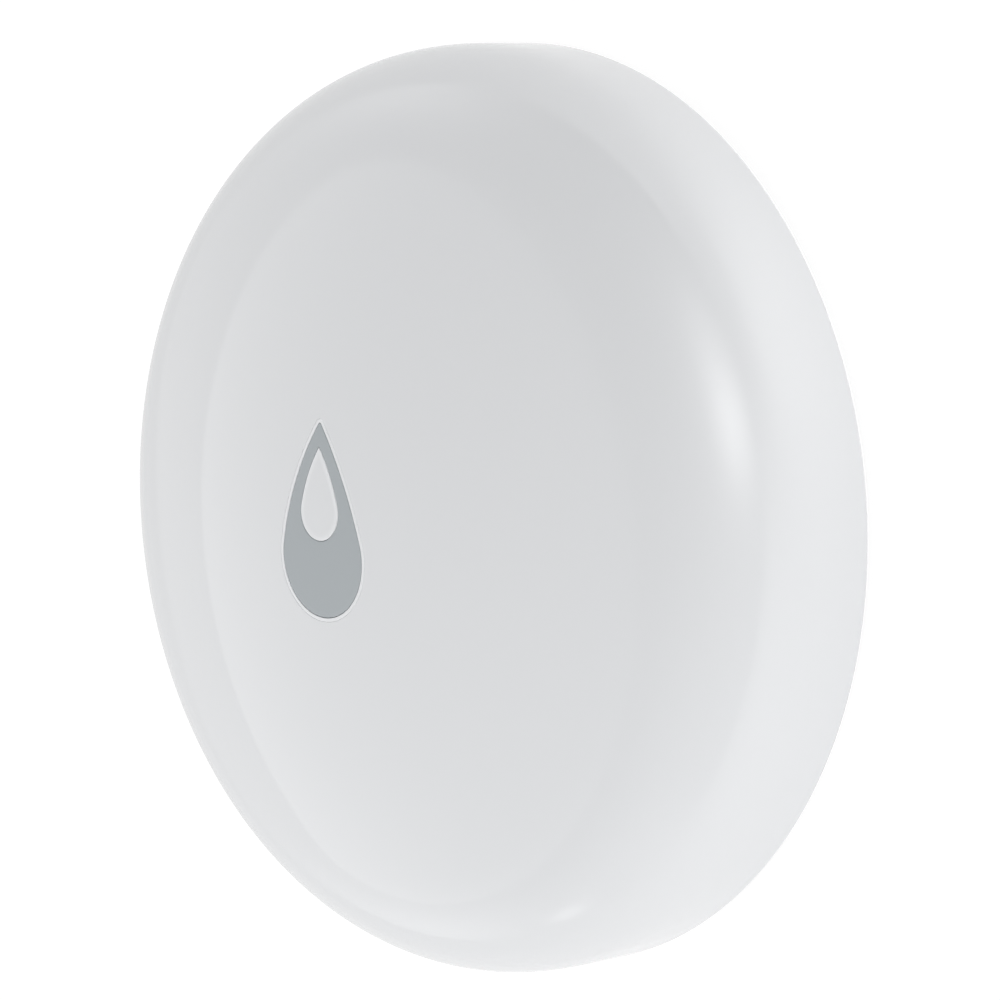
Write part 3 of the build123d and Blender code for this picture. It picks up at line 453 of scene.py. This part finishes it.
def window_points():
    """The window: up its wall, over its edge and in over its top to a small ring round its middle."""
    rows = [at_height(WINDOW_OUTLINE, 0, PAD_Z)] + rounded_edge(WINDOW_OUTLINE, 0, WINDOW_EDGE, outwards=-1)
    edge = WINDOW_OUTLINE[0] - WINDOW_EDGE * WINDOW_OUTLINE[1]
    shares = 1 - (1 - np.linspace(0, 1, WINDOW_ROWS)[1:-1]) ** 1.3
    return np.array(rows + rows_between(edge, np.array(WINDOW_MIDDLE), shares))


def membrane_points():
    """The held part: under the sheet to its round edge, back over it, up the lip and down inside it."""
    inner, outer = KEY_GAP, KEY_GAP + LIP_WIDTH
    angle = np.arctan2(*(KEY_OUTLINE[0] + 2 * KEY_OUTLINE[1]).T[::-1])
    circle = MEMBRANE_RADIUS * np.stack([np.cos(angle), np.sin(angle)], axis=-1)
    edge = [np.column_stack([circle, np.full(len(circle), z)]) for z in (MEMBRANE_LOW, MEMBRANE_TOP)]
    sheet = [at_height(KEY_OUTLINE, inner, MEMBRANE_LOW), *edge, at_height(KEY_OUTLINE, outer, MEMBRANE_TOP)]
    outside = rounded_edge(KEY_OUTLINE, outer, LIP_EDGE, outwards=-1)
    inside = rounded_edge(KEY_OUTLINE, inner, LIP_EDGE, outwards=1)[::-1]
    return np.array(sheet + outside + inside)


def platform_points():
    """The moving part: the nub, the thin web round it and the platform that the key stands on."""
    angle = np.arctan2(*KEY_OUTLINE[1].T[::-1])
    nub = NUB_RADIUS * np.stack([np.cos(angle), np.sin(angle)], axis=-1)
    rows = [np.column_stack([nub, np.full(len(nub), z)]) for z in (NUB_LOW, MEMBRANE_LOW)]
    rows += [at_height(KEY_OUTLINE, KEY_GAP - TOUCH_GAP, z) for z in (MEMBRANE_LOW, WEB_TOP)]
    return np.array(rows + [at_height(KEY_OUTLINE, -PLATFORM_INSET, z) for z in (WEB_TOP, MEMBRANE_TOP)])


drop_key = grid_mesh("drop_key_top", key_points())
light_window = grid_mesh("light_window_top", window_points(), close_rows=False, cap_first=True, cap_last=True)
membrane = grid_mesh("membrane_held", membrane_points())
platform = grid_mesh("membrane_platform", platform_points(), close_rows=False, cap_first=True, cap_last=True)
for piece in (drop_key, light_window, membrane, platform):
    print(piece.name, "has", len(piece.data.polygons), "faces")

# %% [markdown]
# ## Placing the new surfaces
#
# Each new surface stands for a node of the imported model, so that node is hidden and stays only for contact.
# The cover and the membrane's edge belong to the housing. The rest moves when the key is pressed.

# %% Bodies, replaced nodes and slots
for piece, body, node, slot in (
    (top_cover, "housing", "top_cover", "cover_white"),
    (drop_key, "key", "drop_key", "key_grey"),
    (light_window, "key", "light_window", "window_milky"),
    (membrane, "housing", "key_membrane", "silicone_pale"),
    (platform, "key", "key_membrane", "silicone_pale"),
):
    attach(piece, body)
    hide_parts(node)
print("On the key:", [piece.name for piece in (drop_key, light_window, platform)])

# %% [markdown]
# ## The underside
#
# The base, the battery door and the two probe screws show from below. Their shapes are right as they are, but
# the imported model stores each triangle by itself, so light would break at every edge. A copy with its points
# merged can be shaded smooth, except where two faces meet at a real corner.

# %% Smooth copies of the parts that show from below
CORNER_ANGLE = radians(28)
MERGE_DISTANCE = 1e-7


def smooth_copy(node, body):
    """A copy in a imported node's place, with its double points merged, smooth up to the corner angle."""
    mesh = nodes[node].data.copy()
    work = bmesh.new()
    work.from_mesh(mesh)
    bmesh.ops.remove_doubles(work, verts=work.verts, dist=MERGE_DISTANCE)
    for edge in work.edges:
        edge.smooth = len(edge.link_faces) == 2 and edge.calc_face_angle() < CORNER_ANGLE
    for face in work.faces:
        face.smooth = True
    work.to_mesh(mesh)
    work.free()
    piece = new_object(node + "_smooth", mesh)
    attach(piece, body)
    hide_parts(node)
    return piece


base = smooth_copy("base_housing", "housing")
door = smooth_copy("battery_door", "door")
probes = smooth_copy("probe_screws", "housing")
print("Smooth copies:", [len(piece.data.polygons) for piece in (base, door, probes)], "faces")

# %% [markdown]
# ## Effects that several finishes share
#
# A group of shader nodes is like a function: it has named inputs and outputs, it is made once, and each
# material places it with its own values. Three effects come back again and again on this object.
#
# *Moulded skin* is what a mould leaves on plastic: a colour that drifts a little from place to place, gloss
# that drifts with it, and very fine grain. *Turned lines* are the fine rings that a lathe or a press leaves
# on metal. *Grained sheet* is the straight grain of rolled metal.

# %% Helpers for shader nodes
def new_group(name, inputs, outputs):
    """A shader node group with named inputs and outputs, and the sockets inside it that stand for them."""
    tree = bpy.data.node_groups.new(name, "ShaderNodeTree")
    for label, kind, value in inputs:
        socket = tree.interface.new_socket(label, in_out="INPUT", socket_type=kind)
        socket.default_value = value
    for label, kind in outputs:
        tree.interface.new_socket(label, in_out="OUTPUT", socket_type=kind)
    return tree, tree.nodes.new("NodeGroupInput").outputs, tree.nodes.new("NodeGroupOutput").inputs


def add_node(tree, kind, settings=(), values=()):
    """Add a node, set its properties, and fill its inputs, where a socket given as a value is linked."""
    node = tree.nodes.new(kind)
    for label, value in dict(settings).items():
        setattr(node, label, value)
    for label, value in dict(values).items():
        if isinstance(value, bpy.types.NodeSocket):
            tree.links.new(value, node.inputs[label])
        else:
            node.inputs[label].default_value = value
    return node


def maths(tree, operation, *numbers):
    """What a Math node makes of some numbers, any of which may be a socket."""
    return add_node(tree, "ShaderNodeMath", {"operation": operation}, dict(enumerate(numbers))).outputs[0]


def vector_maths(tree, operation, *vectors):
    """What a Vector Math node makes of some vectors: a number where it measures, and else a vector."""
    node = add_node(tree, "ShaderNodeVectorMath", {"operation": operation}, dict(enumerate(vectors)))
    return node.outputs["Value" if operation in ("LENGTH", "DOT_PRODUCT") else "Vector"]


def scaled_vector(tree, vector, scale):
    """A vector times a number."""
    return add_node(
        tree, "ShaderNodeVectorMath", {"operation": "SCALE"}, {"Vector": vector, "Scale": scale}
    ).outputs["Vector"]


# %% Group: moulded skin
def make_moulded_skin():
    """Colour and roughness drift with slow noise, and the height is fine noise.

    Colour is the given colour times one plus the drift. Roughness is the given roughness plus a share of it.
    """
    tree, given, out = new_group(
        "moulded_skin",
        [
            ("Color", "NodeSocketColor", (0.8, 0.8, 0.8, 1)),
            ("Roughness", "NodeSocketFloat", 0.3),
            ("Drift", "NodeSocketFloat", 0.02),
            ("Drift Scale", "NodeSocketFloat", 120.0),
            ("Grain Scale", "NodeSocketFloat", 4000.0),
        ],
        [("Color", "NodeSocketColor"), ("Roughness", "NodeSocketFloat"), ("Height", "NodeSocketFloat")],
    )
    place = add_node(tree, "ShaderNodeTexCoord").outputs["Object"]
    slow = add_node(tree, "ShaderNodeTexNoise", values={
        "Vector": place, "Scale": given["Drift Scale"], "Detail": 2.0,
    }).outputs["Fac"]
    fine = add_node(tree, "ShaderNodeTexNoise", values={
        "Vector": place, "Scale": given["Grain Scale"], "Detail": 3.0, "Roughness": 0.6,
    }).outputs["Fac"]
    centred = maths(tree, "SUBTRACT", slow, 0.5)
    drift = maths(tree, "MULTIPLY", centred, given["Drift"])
    factor = maths(tree, "ADD", drift, 1.0)
    colour = scaled_vector(tree, given["Color"], factor)
    rough = maths(tree, "ADD", given["Roughness"], drift)
    tree.links.new(colour, out["Color"])
    tree.links.new(rough, out["Roughness"])
    tree.links.new(fine, out["Height"])
    return tree


# %% Group: turned lines
def make_turned_lines():
    """Rings about an upright axis: a fine noise read at the distance from the axis, so it is alike all round.

    Offset moves the axis to the piece's own middle. The place is folded to its absolute value first, so one
    Offset serves a pair of pieces on opposite sides. Height and roughness both follow the rings.
    """
    tree, given, out = new_group(
        "turned_lines",
        [
            ("Offset", "NodeSocketVector", (0, 0, 0)),
            ("Rings", "NodeSocketFloat", 6000.0),
            ("Roughness", "NodeSocketFloat", 0.3),
            ("Spread", "NodeSocketFloat", 0.15),
        ],
        [("Roughness", "NodeSocketFloat"), ("Height", "NodeSocketFloat")],
    )
    place = add_node(tree, "ShaderNodeTexCoord").outputs["Object"]
    folded = vector_maths(tree, "ABSOLUTE", place)
    from_axis = vector_maths(tree, "SUBTRACT", folded, given["Offset"])
    distance = vector_maths(tree, "LENGTH", vector_maths(tree, "MULTIPLY", from_axis, (1, 1, 0)))
    rings = add_node(tree, "ShaderNodeTexNoise", {"noise_dimensions": "1D"}, {
        "W": distance, "Scale": given["Rings"], "Detail": 4.0, "Roughness": 0.7,
    }).outputs["Fac"]
    spread = maths(tree, "MULTIPLY", rings, given["Spread"])
    rough = maths(tree, "ADD", spread, given["Roughness"])
    tree.links.new(rough, out["Roughness"])
    tree.links.new(rings, out["Height"])
    return tree


# %% Group: grained sheet
def make_grained_sheet():
    """Straight grain along x: noise that is stretched, because x counts for far less than y and z."""
    tree, given, out = new_group(
        "grained_sheet",
        [
            ("Grain Scale", "NodeSocketFloat", 3000.0),
            ("Stretch", "NodeSocketFloat", 0.03),
            ("Roughness", "NodeSocketFloat", 0.3),
            ("Spread", "NodeSocketFloat", 0.15),
        ],
        [("Roughness", "NodeSocketFloat"), ("Height", "NodeSocketFloat")],
    )
    place = add_node(tree, "ShaderNodeTexCoord").outputs["Object"]
    scales = add_node(
        tree, "ShaderNodeCombineXYZ", values={"X": given["Stretch"], "Y": 1.0, "Z": 1.0}
    ).outputs[0]
    drawn = vector_maths(tree, "MULTIPLY", place, scales)
    grain = add_node(tree, "ShaderNodeTexNoise", values={
        "Vector": drawn, "Scale": given["Grain Scale"], "Detail": 3.0,
    }).outputs["Fac"]
    spread = maths(tree, "MULTIPLY", grain, given["Spread"])
    rough = maths(tree, "ADD", spread, given["Roughness"])
    tree.links.new(rough, out["Roughness"])
    tree.links.new(grain, out["Height"])
    return tree


moulded_skin = make_moulded_skin()
turned_lines = make_turned_lines()
grained_sheet = make_grained_sheet()
print("Shader groups:", [group.name for group in bpy.data.node_groups])

# %% [markdown]
# ## Materials
#
# Each finish of the real object has its own material. The plastics differ in colour, gloss and grain, and the
# metals in colour and in how they were made. A value that is the same everywhere, such as a refractive index,
# is set on the shader's own socket, and only what changes over the surface comes from a group.

# %% Helpers that start a material
def new_material(name, metallic=0.0, **sockets):
    """A material with a Principled BSDF, and plain values on its sockets (underscores stand for spaces)."""
    made = bpy.data.materials.new(name)
    made.use_nodes = True
    shader = made.node_tree.nodes["Principled BSDF"]
    shader.inputs["Metallic"].default_value = metallic
    for label, value in sockets.items():
        shader.inputs[label.replace("_", " ")].default_value = value
    return made, made.node_tree, shader


def group_node(tree, group, **values):
    """Place a node group in a material and set its inputs (underscores stand for spaces)."""
    node = tree.nodes.new("ShaderNodeGroup")
    node.node_tree = group
    for label, value in values.items():
        node.inputs[label.replace("_", " ")].default_value = value
    return node


def bump(tree, height, depth, shader):
    """Lead a height through a Bump node, whose depth is in metres, into the shader's normal."""
    node = add_node(tree, "ShaderNodeBump", values={"Height": height, "Distance": depth})
    tree.links.new(node.outputs["Normal"], shader.inputs["Normal"])


def give_finish(piece, finish):
    """The piece has this material and no other."""
    piece.data.materials.clear()
    piece.data.materials.append(finish)


def plastic(
    name, colour, roughness, drift=0.02, drift_scale=120.0, grain_scale=4000.0, grain_depth=2e-6, **sockets
):
    """Moulded plastic or rubber: moulded skin on a shader that isn't metallic."""
    made, tree, shader = new_material(name, **sockets)
    skin = group_node(
        tree, moulded_skin, Color=(*colour, 1), Roughness=roughness,
        Drift=drift, Drift_Scale=drift_scale, Grain_Scale=grain_scale,
    )
    tree.links.new(skin.outputs["Color"], shader.inputs["Base Color"])
    tree.links.new(skin.outputs["Roughness"], shader.inputs["Roughness"])
    bump(tree, skin.outputs["Height"], grain_depth, shader)
    return made


def metal(name, colour, group, drift=0.06, drift_scale=300.0, depth=3e-6, **values):
    """Metal: a group of lines for its gloss and height, and the moulded skin's drift for its colour."""
    made, tree, shader = new_material(name, metallic=1.0)
    tone = group_node(tree, moulded_skin, Color=(*colour, 1), Drift=drift, Drift_Scale=drift_scale)
    lines = group_node(tree, group, **values)
    tree.links.new(tone.outputs["Color"], shader.inputs["Base Color"])
    tree.links.new(lines.outputs["Roughness"], shader.inputs["Roughness"])
    bump(tree, lines.outputs["Height"], depth, shader)
    return made


# %% [markdown]
# ## What the eye sees first
#
# The cover is polished white plastic with a cool cast. Its grain is so fine that it only softens the lights.
# The grey drop is matt, and the pale drop is the cover's white again. Both drops have a thin, slightly
# lighter line round them. The outer one is the silicone lip. The inner one is a painted highlight: the
# window's colour is lightened towards its rim, so the window's mesh carries a number for every point that
# says how near its edge it is.

# %% Cover, key, window and lip
COVER_WHITE = (0.79, 0.80, 0.815)
# The silicone lip's own white, which is also the colour of the painted highlight at the window's rim.
LIP_WHITE_AND_RIM_HIGHLIGHT = (0.86, 0.87, 0.885)

cover_white = plastic("cover_white", COVER_WHITE, 0.05, drift=0.004, grain_scale=900.0, grain_depth=1e-7)
key_grey = plastic(
    "key_grey", (0.445, 0.478, 0.497), 0.55, drift=0.015, grain_scale=9000.0, Specular_IOR_Level=0.25
)
silicone_pale = plastic("silicone_pale", LIP_WHITE_AND_RIM_HIGHLIGHT, 0.42, drift=0.01, grain_scale=6000.0)


def make_window_with_painted_rim():
    """Milky plastic with a painted highlight at its rim: the colour goes from white to the lip's lighter white
    as the attribute goes from 0 to 1.
    """
    made, tree, shader = new_material("window_milky")
    skin = group_node(
        tree, moulded_skin, Color=(*COVER_WHITE, 1), Roughness=0.18, Drift=0.006, Grain_Scale=2500.0
    )
    edge = add_node(tree, "ShaderNodeAttribute", {"attribute_name": "edge"}).outputs["Fac"]
    mixed = add_node(tree, "ShaderNodeMix", {"data_type": "RGBA"})
    tree.links.new(edge, mixed.inputs[0])
    tree.links.new(skin.outputs["Color"], mixed.inputs[6])
    mixed.inputs[7].default_value = (*LIP_WHITE_AND_RIM_HIGHLIGHT, 1)
    tree.links.new(mixed.outputs[2], shader.inputs["Base Color"])
    tree.links.new(skin.outputs["Roughness"], shader.inputs["Roughness"])
    bump(tree, skin.outputs["Height"], 5e-7, shader)
    return made


window_milky = make_window_with_painted_rim()
# Width of the painted highlight at the window's rim, in millimetres, and the share of it over which it fades.
WINDOW_HIGHLIGHT_WIDTH = 0.26
HIGHLIGHT_FADE = 0.4


def mark_painted_highlight(piece, outline, width):
    """Store how near each point is to the outline, which places the painted highlight: 1 at the outline,
    falling to 0 at the given width.
    """
    place = np.empty(len(piece.data.vertices) * 3)
    piece.data.vertices.foreach_get("co", place)
    flat = place.reshape(-1, 3)[:, :2] / MM
    away = np.sqrt(((flat[:, None] - outline[0][None]) ** 2).sum(axis=-1)).min(axis=1)
    edge = np.clip((width - away) / (HIGHLIGHT_FADE * width), 0, 1)
    attribute = piece.data.attributes.new("edge", "FLOAT", "POINT")
    attribute.data.foreach_set("value", edge.astype(np.float32))


mark_painted_highlight(light_window, WINDOW_OUTLINE, WINDOW_HIGHLIGHT_WIDTH)
for piece, finish in (
    (top_cover, cover_white), (drop_key, key_grey), (light_window, window_milky),
    (membrane, silicone_pale), (platform, silicone_pale),
):
    give_finish(piece, finish)
# The width printed is that of the painted highlight at the window's rim.
print("The window's clear edge is", WINDOW_HIGHLIGHT_WIDTH, "mm wide")

# %% [markdown]
# ## The parts under the cover and below
#
# From below, the base and the door are white with the fine, dry grain of an eroded mould, so that scratches
# don't show. Inside are the things that make the sensor work, each in the finish that such parts have.

# %% Materials of the other parts
PROBE_HEAD_RADIUS = 2.3 * MM
PROBE_AXIS = (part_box("probe_screws")[1].x - PROBE_HEAD_RADIUS, 0, 0)
finishes = {
    "base_white": plastic(
        "base_white", (0.78, 0.79, 0.80), 0.42, drift=0.012, grain_scale=5200.0, grain_depth=1.2e-5
    ),
    "inner_plastic": plastic("inner_plastic", (0.74, 0.74, 0.72), 0.38, drift=0.03, grain_depth=4e-6),
    "seal_dark": plastic(
        "seal_dark", (0.035, 0.037, 0.04), 0.5, drift=0.2, grain_scale=7000.0, grain_depth=5e-6
    ),
    "cell_gasket_plastic": plastic("cell_gasket_plastic", (0.12, 0.13, 0.15), 0.35, drift=0.1),
    "switch_black": plastic("switch_black", (0.03, 0.03, 0.032), 0.4, drift=0.2, grain_depth=6e-6),
    "stem_plastic": plastic("stem_plastic", (0.06, 0.06, 0.065), 0.32, drift=0.1, grain_depth=3e-6),
    "chip_black": plastic(
        "chip_black", (0.028, 0.028, 0.03), 0.55, drift=0.25, grain_scale=9000.0, grain_depth=6e-6
    ),
    "antenna_ceramic": plastic("antenna_ceramic", (0.62, 0.66, 0.6), 0.28, drift=0.05, Coat_Weight=0.3),
    "capacitor_ceramic": plastic("capacitor_ceramic", (0.42, 0.3, 0.2), 0.36, drift=0.15, drift_scale=700.0),
    "led_clear": plastic("led_clear", (0.95, 0.96, 0.97), 0.06, drift=0.005, Transmission_Weight=0.85),
    "cell_steel": metal("cell_steel", (0.70, 0.69, 0.67), turned_lines, Rings=5000.0, Roughness=0.24),
    "screw_steel": metal("screw_steel", (0.66, 0.66, 0.66), grained_sheet, Roughness=0.26),
    "contact_steel": metal("contact_steel", (0.72, 0.71, 0.68), grained_sheet, Roughness=0.2),
    "insert_brass": metal("insert_brass", (0.76, 0.58, 0.28), turned_lines, Offset=PROBE_AXIS, Roughness=0.3),
    "probe_steel": metal(
        "probe_steel", (0.74, 0.73, 0.71), turned_lines, Offset=PROBE_AXIS, Rings=9000.0, Roughness=0.2
    ),
}
print("Plain finishes:", len(finishes))

# %% [markdown]
# ## The circuit board
#
# A board is glass cloth under green lacquer. The cloth shows as a faint, regular weave of two crossed sets of
# threads, which two waves at right angles give, and the lacquer over it is glossy.

# %% Circuit board material
def make_board_green():
    """Green lacquer over woven glass: the height is the sum of two waves, one along x and one along y."""
    made, tree, shader = new_material("board_green", Coat_Weight=0.4, Coat_Roughness=0.12)
    skin = group_node(
        tree, moulded_skin, Color=(0.02, 0.16, 0.07, 1), Roughness=0.3, Drift=0.2, Drift_Scale=400.0
    )
    place = add_node(tree, "ShaderNodeTexCoord").outputs["Object"]
    threads = [
        add_node(tree, "ShaderNodeTexWave", {"bands_direction": way}, {"Vector": place, "Scale": 500.0})
        for way in ("X", "Y")
    ]
    weave = maths(tree, "ADD", *(thread.outputs["Fac"] for thread in threads))
    tree.links.new(skin.outputs["Color"], shader.inputs["Base Color"])
    tree.links.new(skin.outputs["Roughness"], shader.inputs["Roughness"])
    bump(tree, weave, 4e-6, shader)
    return made


finishes.update(
    board_green=make_board_green(), cover_white=cover_white, key_grey=key_grey,
    window_milky=window_milky, silicone_pale=silicone_pale,
)
slot_of = {part["node"]: part["material_slot"] for part in frame["record"]["subparts"]}
for name, node in nodes.items():
    give_finish(node, finishes[slot_of[name]])
for piece, finish in ((base, "base_white"), (door, "base_white"), (probes, "probe_steel")):
    give_finish(piece, finishes[finish])
print("Every node has its finish:", len(nodes), "nodes,", len(finishes), "materials")

# %% [markdown]
# ## The floor
#
# The photograph has pure white all round the object. A floor that simply reflects light would have to be lit
# so strongly that the object would burn out. Instead the Light Path node tells who is looking. To the camera,
# and in mirrors, the floor glows white, mixed with a little of its real surface so that the object still
# drops a soft shadow. To all other light it is a plain pale surface that throws some light up at the sides.
#
# In mirrors the floor in front of the object is brighter than behind it, because a wide pool of light is
# painted into its glow, and a small pool painted beside the wall is brighter still; no lamp makes either.
# That small pool is mirrored as a pale band on the upper right of the side wall. Each pool is a bell round a
# place on the floor.

# %% Floor
FLOOR_SIZE = 6.0
FLOOR_PALE = (0.85, 0.85, 0.85, 1)
SEEN_GLOW = 1.15
MIRRORED_GLOW = 0.85
SHADOW_SHARE = 0.22
# middle of each painted pool of light and its reach, in millimetres, then its strength
# Painted pools of light: glow in the floor that no lamp makes.
PAINTED_FLOOR_POOLS = {"in front": ((55, 0), 40, 0.6), "beside the wall": ((27, 15), 10, 2.3)}


def mirrored_glow_with_painted_pools(tree):
    """The glow in mirrors: the plain glow plus, for each painted pool of light, its strength times a bell.

    The bell is e to the power of minus half the square of the distance to the middle divided by the reach.
    """
    place = add_node(tree, "ShaderNodeTexCoord").outputs["Object"]
    total = MIRRORED_GLOW
    for (x, y), reach, strength in PAINTED_FLOOR_POOLS.values():
        away = vector_maths(tree, "SUBTRACT", place, (x * MM, y * MM, 0))
        reaches = scaled_vector(tree, away, 1 / (reach * MM))
        square = vector_maths(tree, "DOT_PRODUCT", reaches, reaches)
        bell = maths(tree, "EXPONENT", maths(tree, "MULTIPLY", square, -0.5))
        total = maths(tree, "ADD", maths(tree, "MULTIPLY", bell, strength), total)
    return total


def make_floor():
    """A square on z = 0. Seen directly or in mirrors, it is glow and surface, mixed by the shadow's share."""
    half = FLOOR_SIZE / 2
    mesh = bpy.data.meshes.new("floor")
    corners = [(-half, -half, 0), (half, -half, 0), (half, half, 0), (-half, half, 0)]
    mesh.from_pydata(corners, [], [(0, 1, 2, 3)])
    made = bpy.data.materials.new("floor_white")
    made.use_nodes = True
    tree = made.node_tree
    tree.nodes.clear()
    surface = add_node(tree, "ShaderNodeBsdfDiffuse", values={"Color": FLOOR_PALE}).outputs[0]
    path = add_node(tree, "ShaderNodeLightPath").outputs
    strength = add_node(tree, "ShaderNodeMix")
    tree.links.new(path["Is Glossy Ray"], strength.inputs[0])
    strength.inputs[2].default_value = SEEN_GLOW
    tree.links.new(mirrored_glow_with_painted_pools(tree), strength.inputs[3])
    glow = add_node(tree, "ShaderNodeEmission", values={"Strength": strength.outputs[0]}).outputs[0]
    seen = add_node(tree, "ShaderNodeMixShader", values={0: SHADOW_SHARE, 1: glow, 2: surface}).outputs[0]
    direct = maths(tree, "MAXIMUM", path["Is Camera Ray"], path["Is Glossy Ray"])
    looked_at = maths(tree, "MAXIMUM", direct, path["Is Transmission Ray"])
    both = add_node(tree, "ShaderNodeMixShader", values={0: looked_at, 1: surface, 2: seen}).outputs[0]
    add_node(tree, "ShaderNodeOutputMaterial", values={"Surface": both})
    mesh.materials.append(made)
    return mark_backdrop(new_object("floor", mesh))


make_floor()
print("The floor is", FLOOR_SIZE, "m wide")

# %% [markdown]
# ## The studio
#
# Gloss shows the lights as much as the shape, so the studio is a ring of soft lamps that were set one by one
# against the photograph: by the brightness of each side of the puck, the streak on its right shoulder, and
# the faint curved line on its left, which is the mirrored edge of a large round screen. All of them are part
# of the world. A soft lamp there is a bright patch round one direction, which falls off as a bell. Some lamps
# are shaded so that they light the object without showing in its gloss.

# %% Group: soft lamp
def make_soft_lamp():
    """The brightness of the world in one direction from one lamp.

    It is the strength times e to the power of the tightness times (cosine of the angle to the lamp less 1).
    """
    tree, given, out = new_group(
        "soft_lamp",
        [
            ("Direction", "NodeSocketVector", (0, 0, 1)),
            ("Tightness", "NodeSocketFloat", 12.0),
            ("Strength", "NodeSocketFloat", 1.0),
        ],
        [("Brightness", "NodeSocketFloat")],
    )
    look = add_node(tree, "ShaderNodeTexCoord").outputs["Generated"]
    unit = vector_maths(tree, "NORMALIZE", look)
    cosine = vector_maths(tree, "DOT_PRODUCT", unit, given["Direction"])
    less = maths(tree, "SUBTRACT", cosine, 1.0)
    power = maths(tree, "MULTIPLY", less, given["Tightness"])
    bell = maths(tree, "EXPONENT", power)
    bright = maths(tree, "MULTIPLY", bell, given["Strength"])
    tree.links.new(bright, out["Brightness"])
    return tree


soft_lamp = make_soft_lamp()

# %% The lamps and the screen
# azimuth from +X towards +Y and elevation, in degrees, then tightness and strength
MIRRORED_LAMPS = {
    "wide light behind": (180, 8, 4, 1.0),
    "soft box behind, left": (130, 8, 14, 1.05),
    "soft box behind, right": (230, 8, 14, 1.05),
    "soft box at the right": (275, 8, 14, 0.55),
    "glow of the streak": (20, 16, 18, 1.9),
    "core of the streak": (19, 15, 45, 2.0),
    "tail of the streak": (40, 16, 30, 0.9),
    "small lamp for the crescent": (-105, 6, 300, 1.2),
}
SHADED_LAMPS = {
    "light in front": (30, 3, 12, 0.9),
    "light on the right side": (300, 8, 6, 1.95),
    "light from the ceiling": (0, 90, 1, 0.36),
    "light from behind": (180, 10, 4, 0.25),
}
SCREEN = {"azimuth": -166, "elevation": 51, "radius": 38, "strength": 0.4}


def direction(azimuth, elevation):
    """The unit vector that points at an azimuth and an elevation given in degrees."""
    level = cos(radians(elevation))
    return (level * cos(radians(azimuth)), level * sin(radians(azimuth)), sin(radians(elevation)))


def add_lamps(tree, lamps):
    """Place one lamp group for each lamp and add up what they give."""
    total = None
    for azimuth, elevation, tightness, strength in lamps.values():
        lamp = group_node(
            tree, soft_lamp, Direction=direction(azimuth, elevation), Tightness=tightness, Strength=strength
        ).outputs[0]
        total = lamp if total is None else maths(tree, "ADD", total, lamp)
    return total


def make_world():
    """Mirrored lamps, plus shaded lamps except to glossy rays, plus the screen inside its circle."""
    world = bpy.data.worlds.new("studio")
    world.use_nodes = True
    tree = world.node_tree
    background = tree.nodes["Background"]
    background.inputs["Color"].default_value = (1, 1, 1, 1)
    mirrored = add_lamps(tree, MIRRORED_LAMPS)
    shaded = add_lamps(tree, SHADED_LAMPS)
    glossy = add_node(tree, "ShaderNodeLightPath").outputs["Is Glossy Ray"]
    plain = maths(tree, "SUBTRACT", 1.0, glossy)
    hidden = maths(tree, "MULTIPLY", shaded, plain)
    look = add_node(tree, "ShaderNodeTexCoord").outputs["Generated"]
    unit = vector_maths(tree, "NORMALIZE", look)
    middle = direction(SCREEN["azimuth"], SCREEN["elevation"])
    cosine = vector_maths(tree, "DOT_PRODUCT", unit, middle)
    rim = cos(radians(SCREEN["radius"]))
    inside = maths(tree, "GREATER_THAN", cosine, rim)
    screen = maths(tree, "MULTIPLY", inside, SCREEN["strength"])
    lit = maths(tree, "ADD", mirrored, hidden)
    total = maths(tree, "ADD", lit, screen)
    tree.links.new(total, background.inputs["Strength"])
    return world


bpy.context.scene.world = make_world()
bpy.context.scene.view_settings.view_transform = "Standard"
print("Lamps:", len(MIRRORED_LAMPS), "mirrored and", len(SHADED_LAMPS), "shaded")
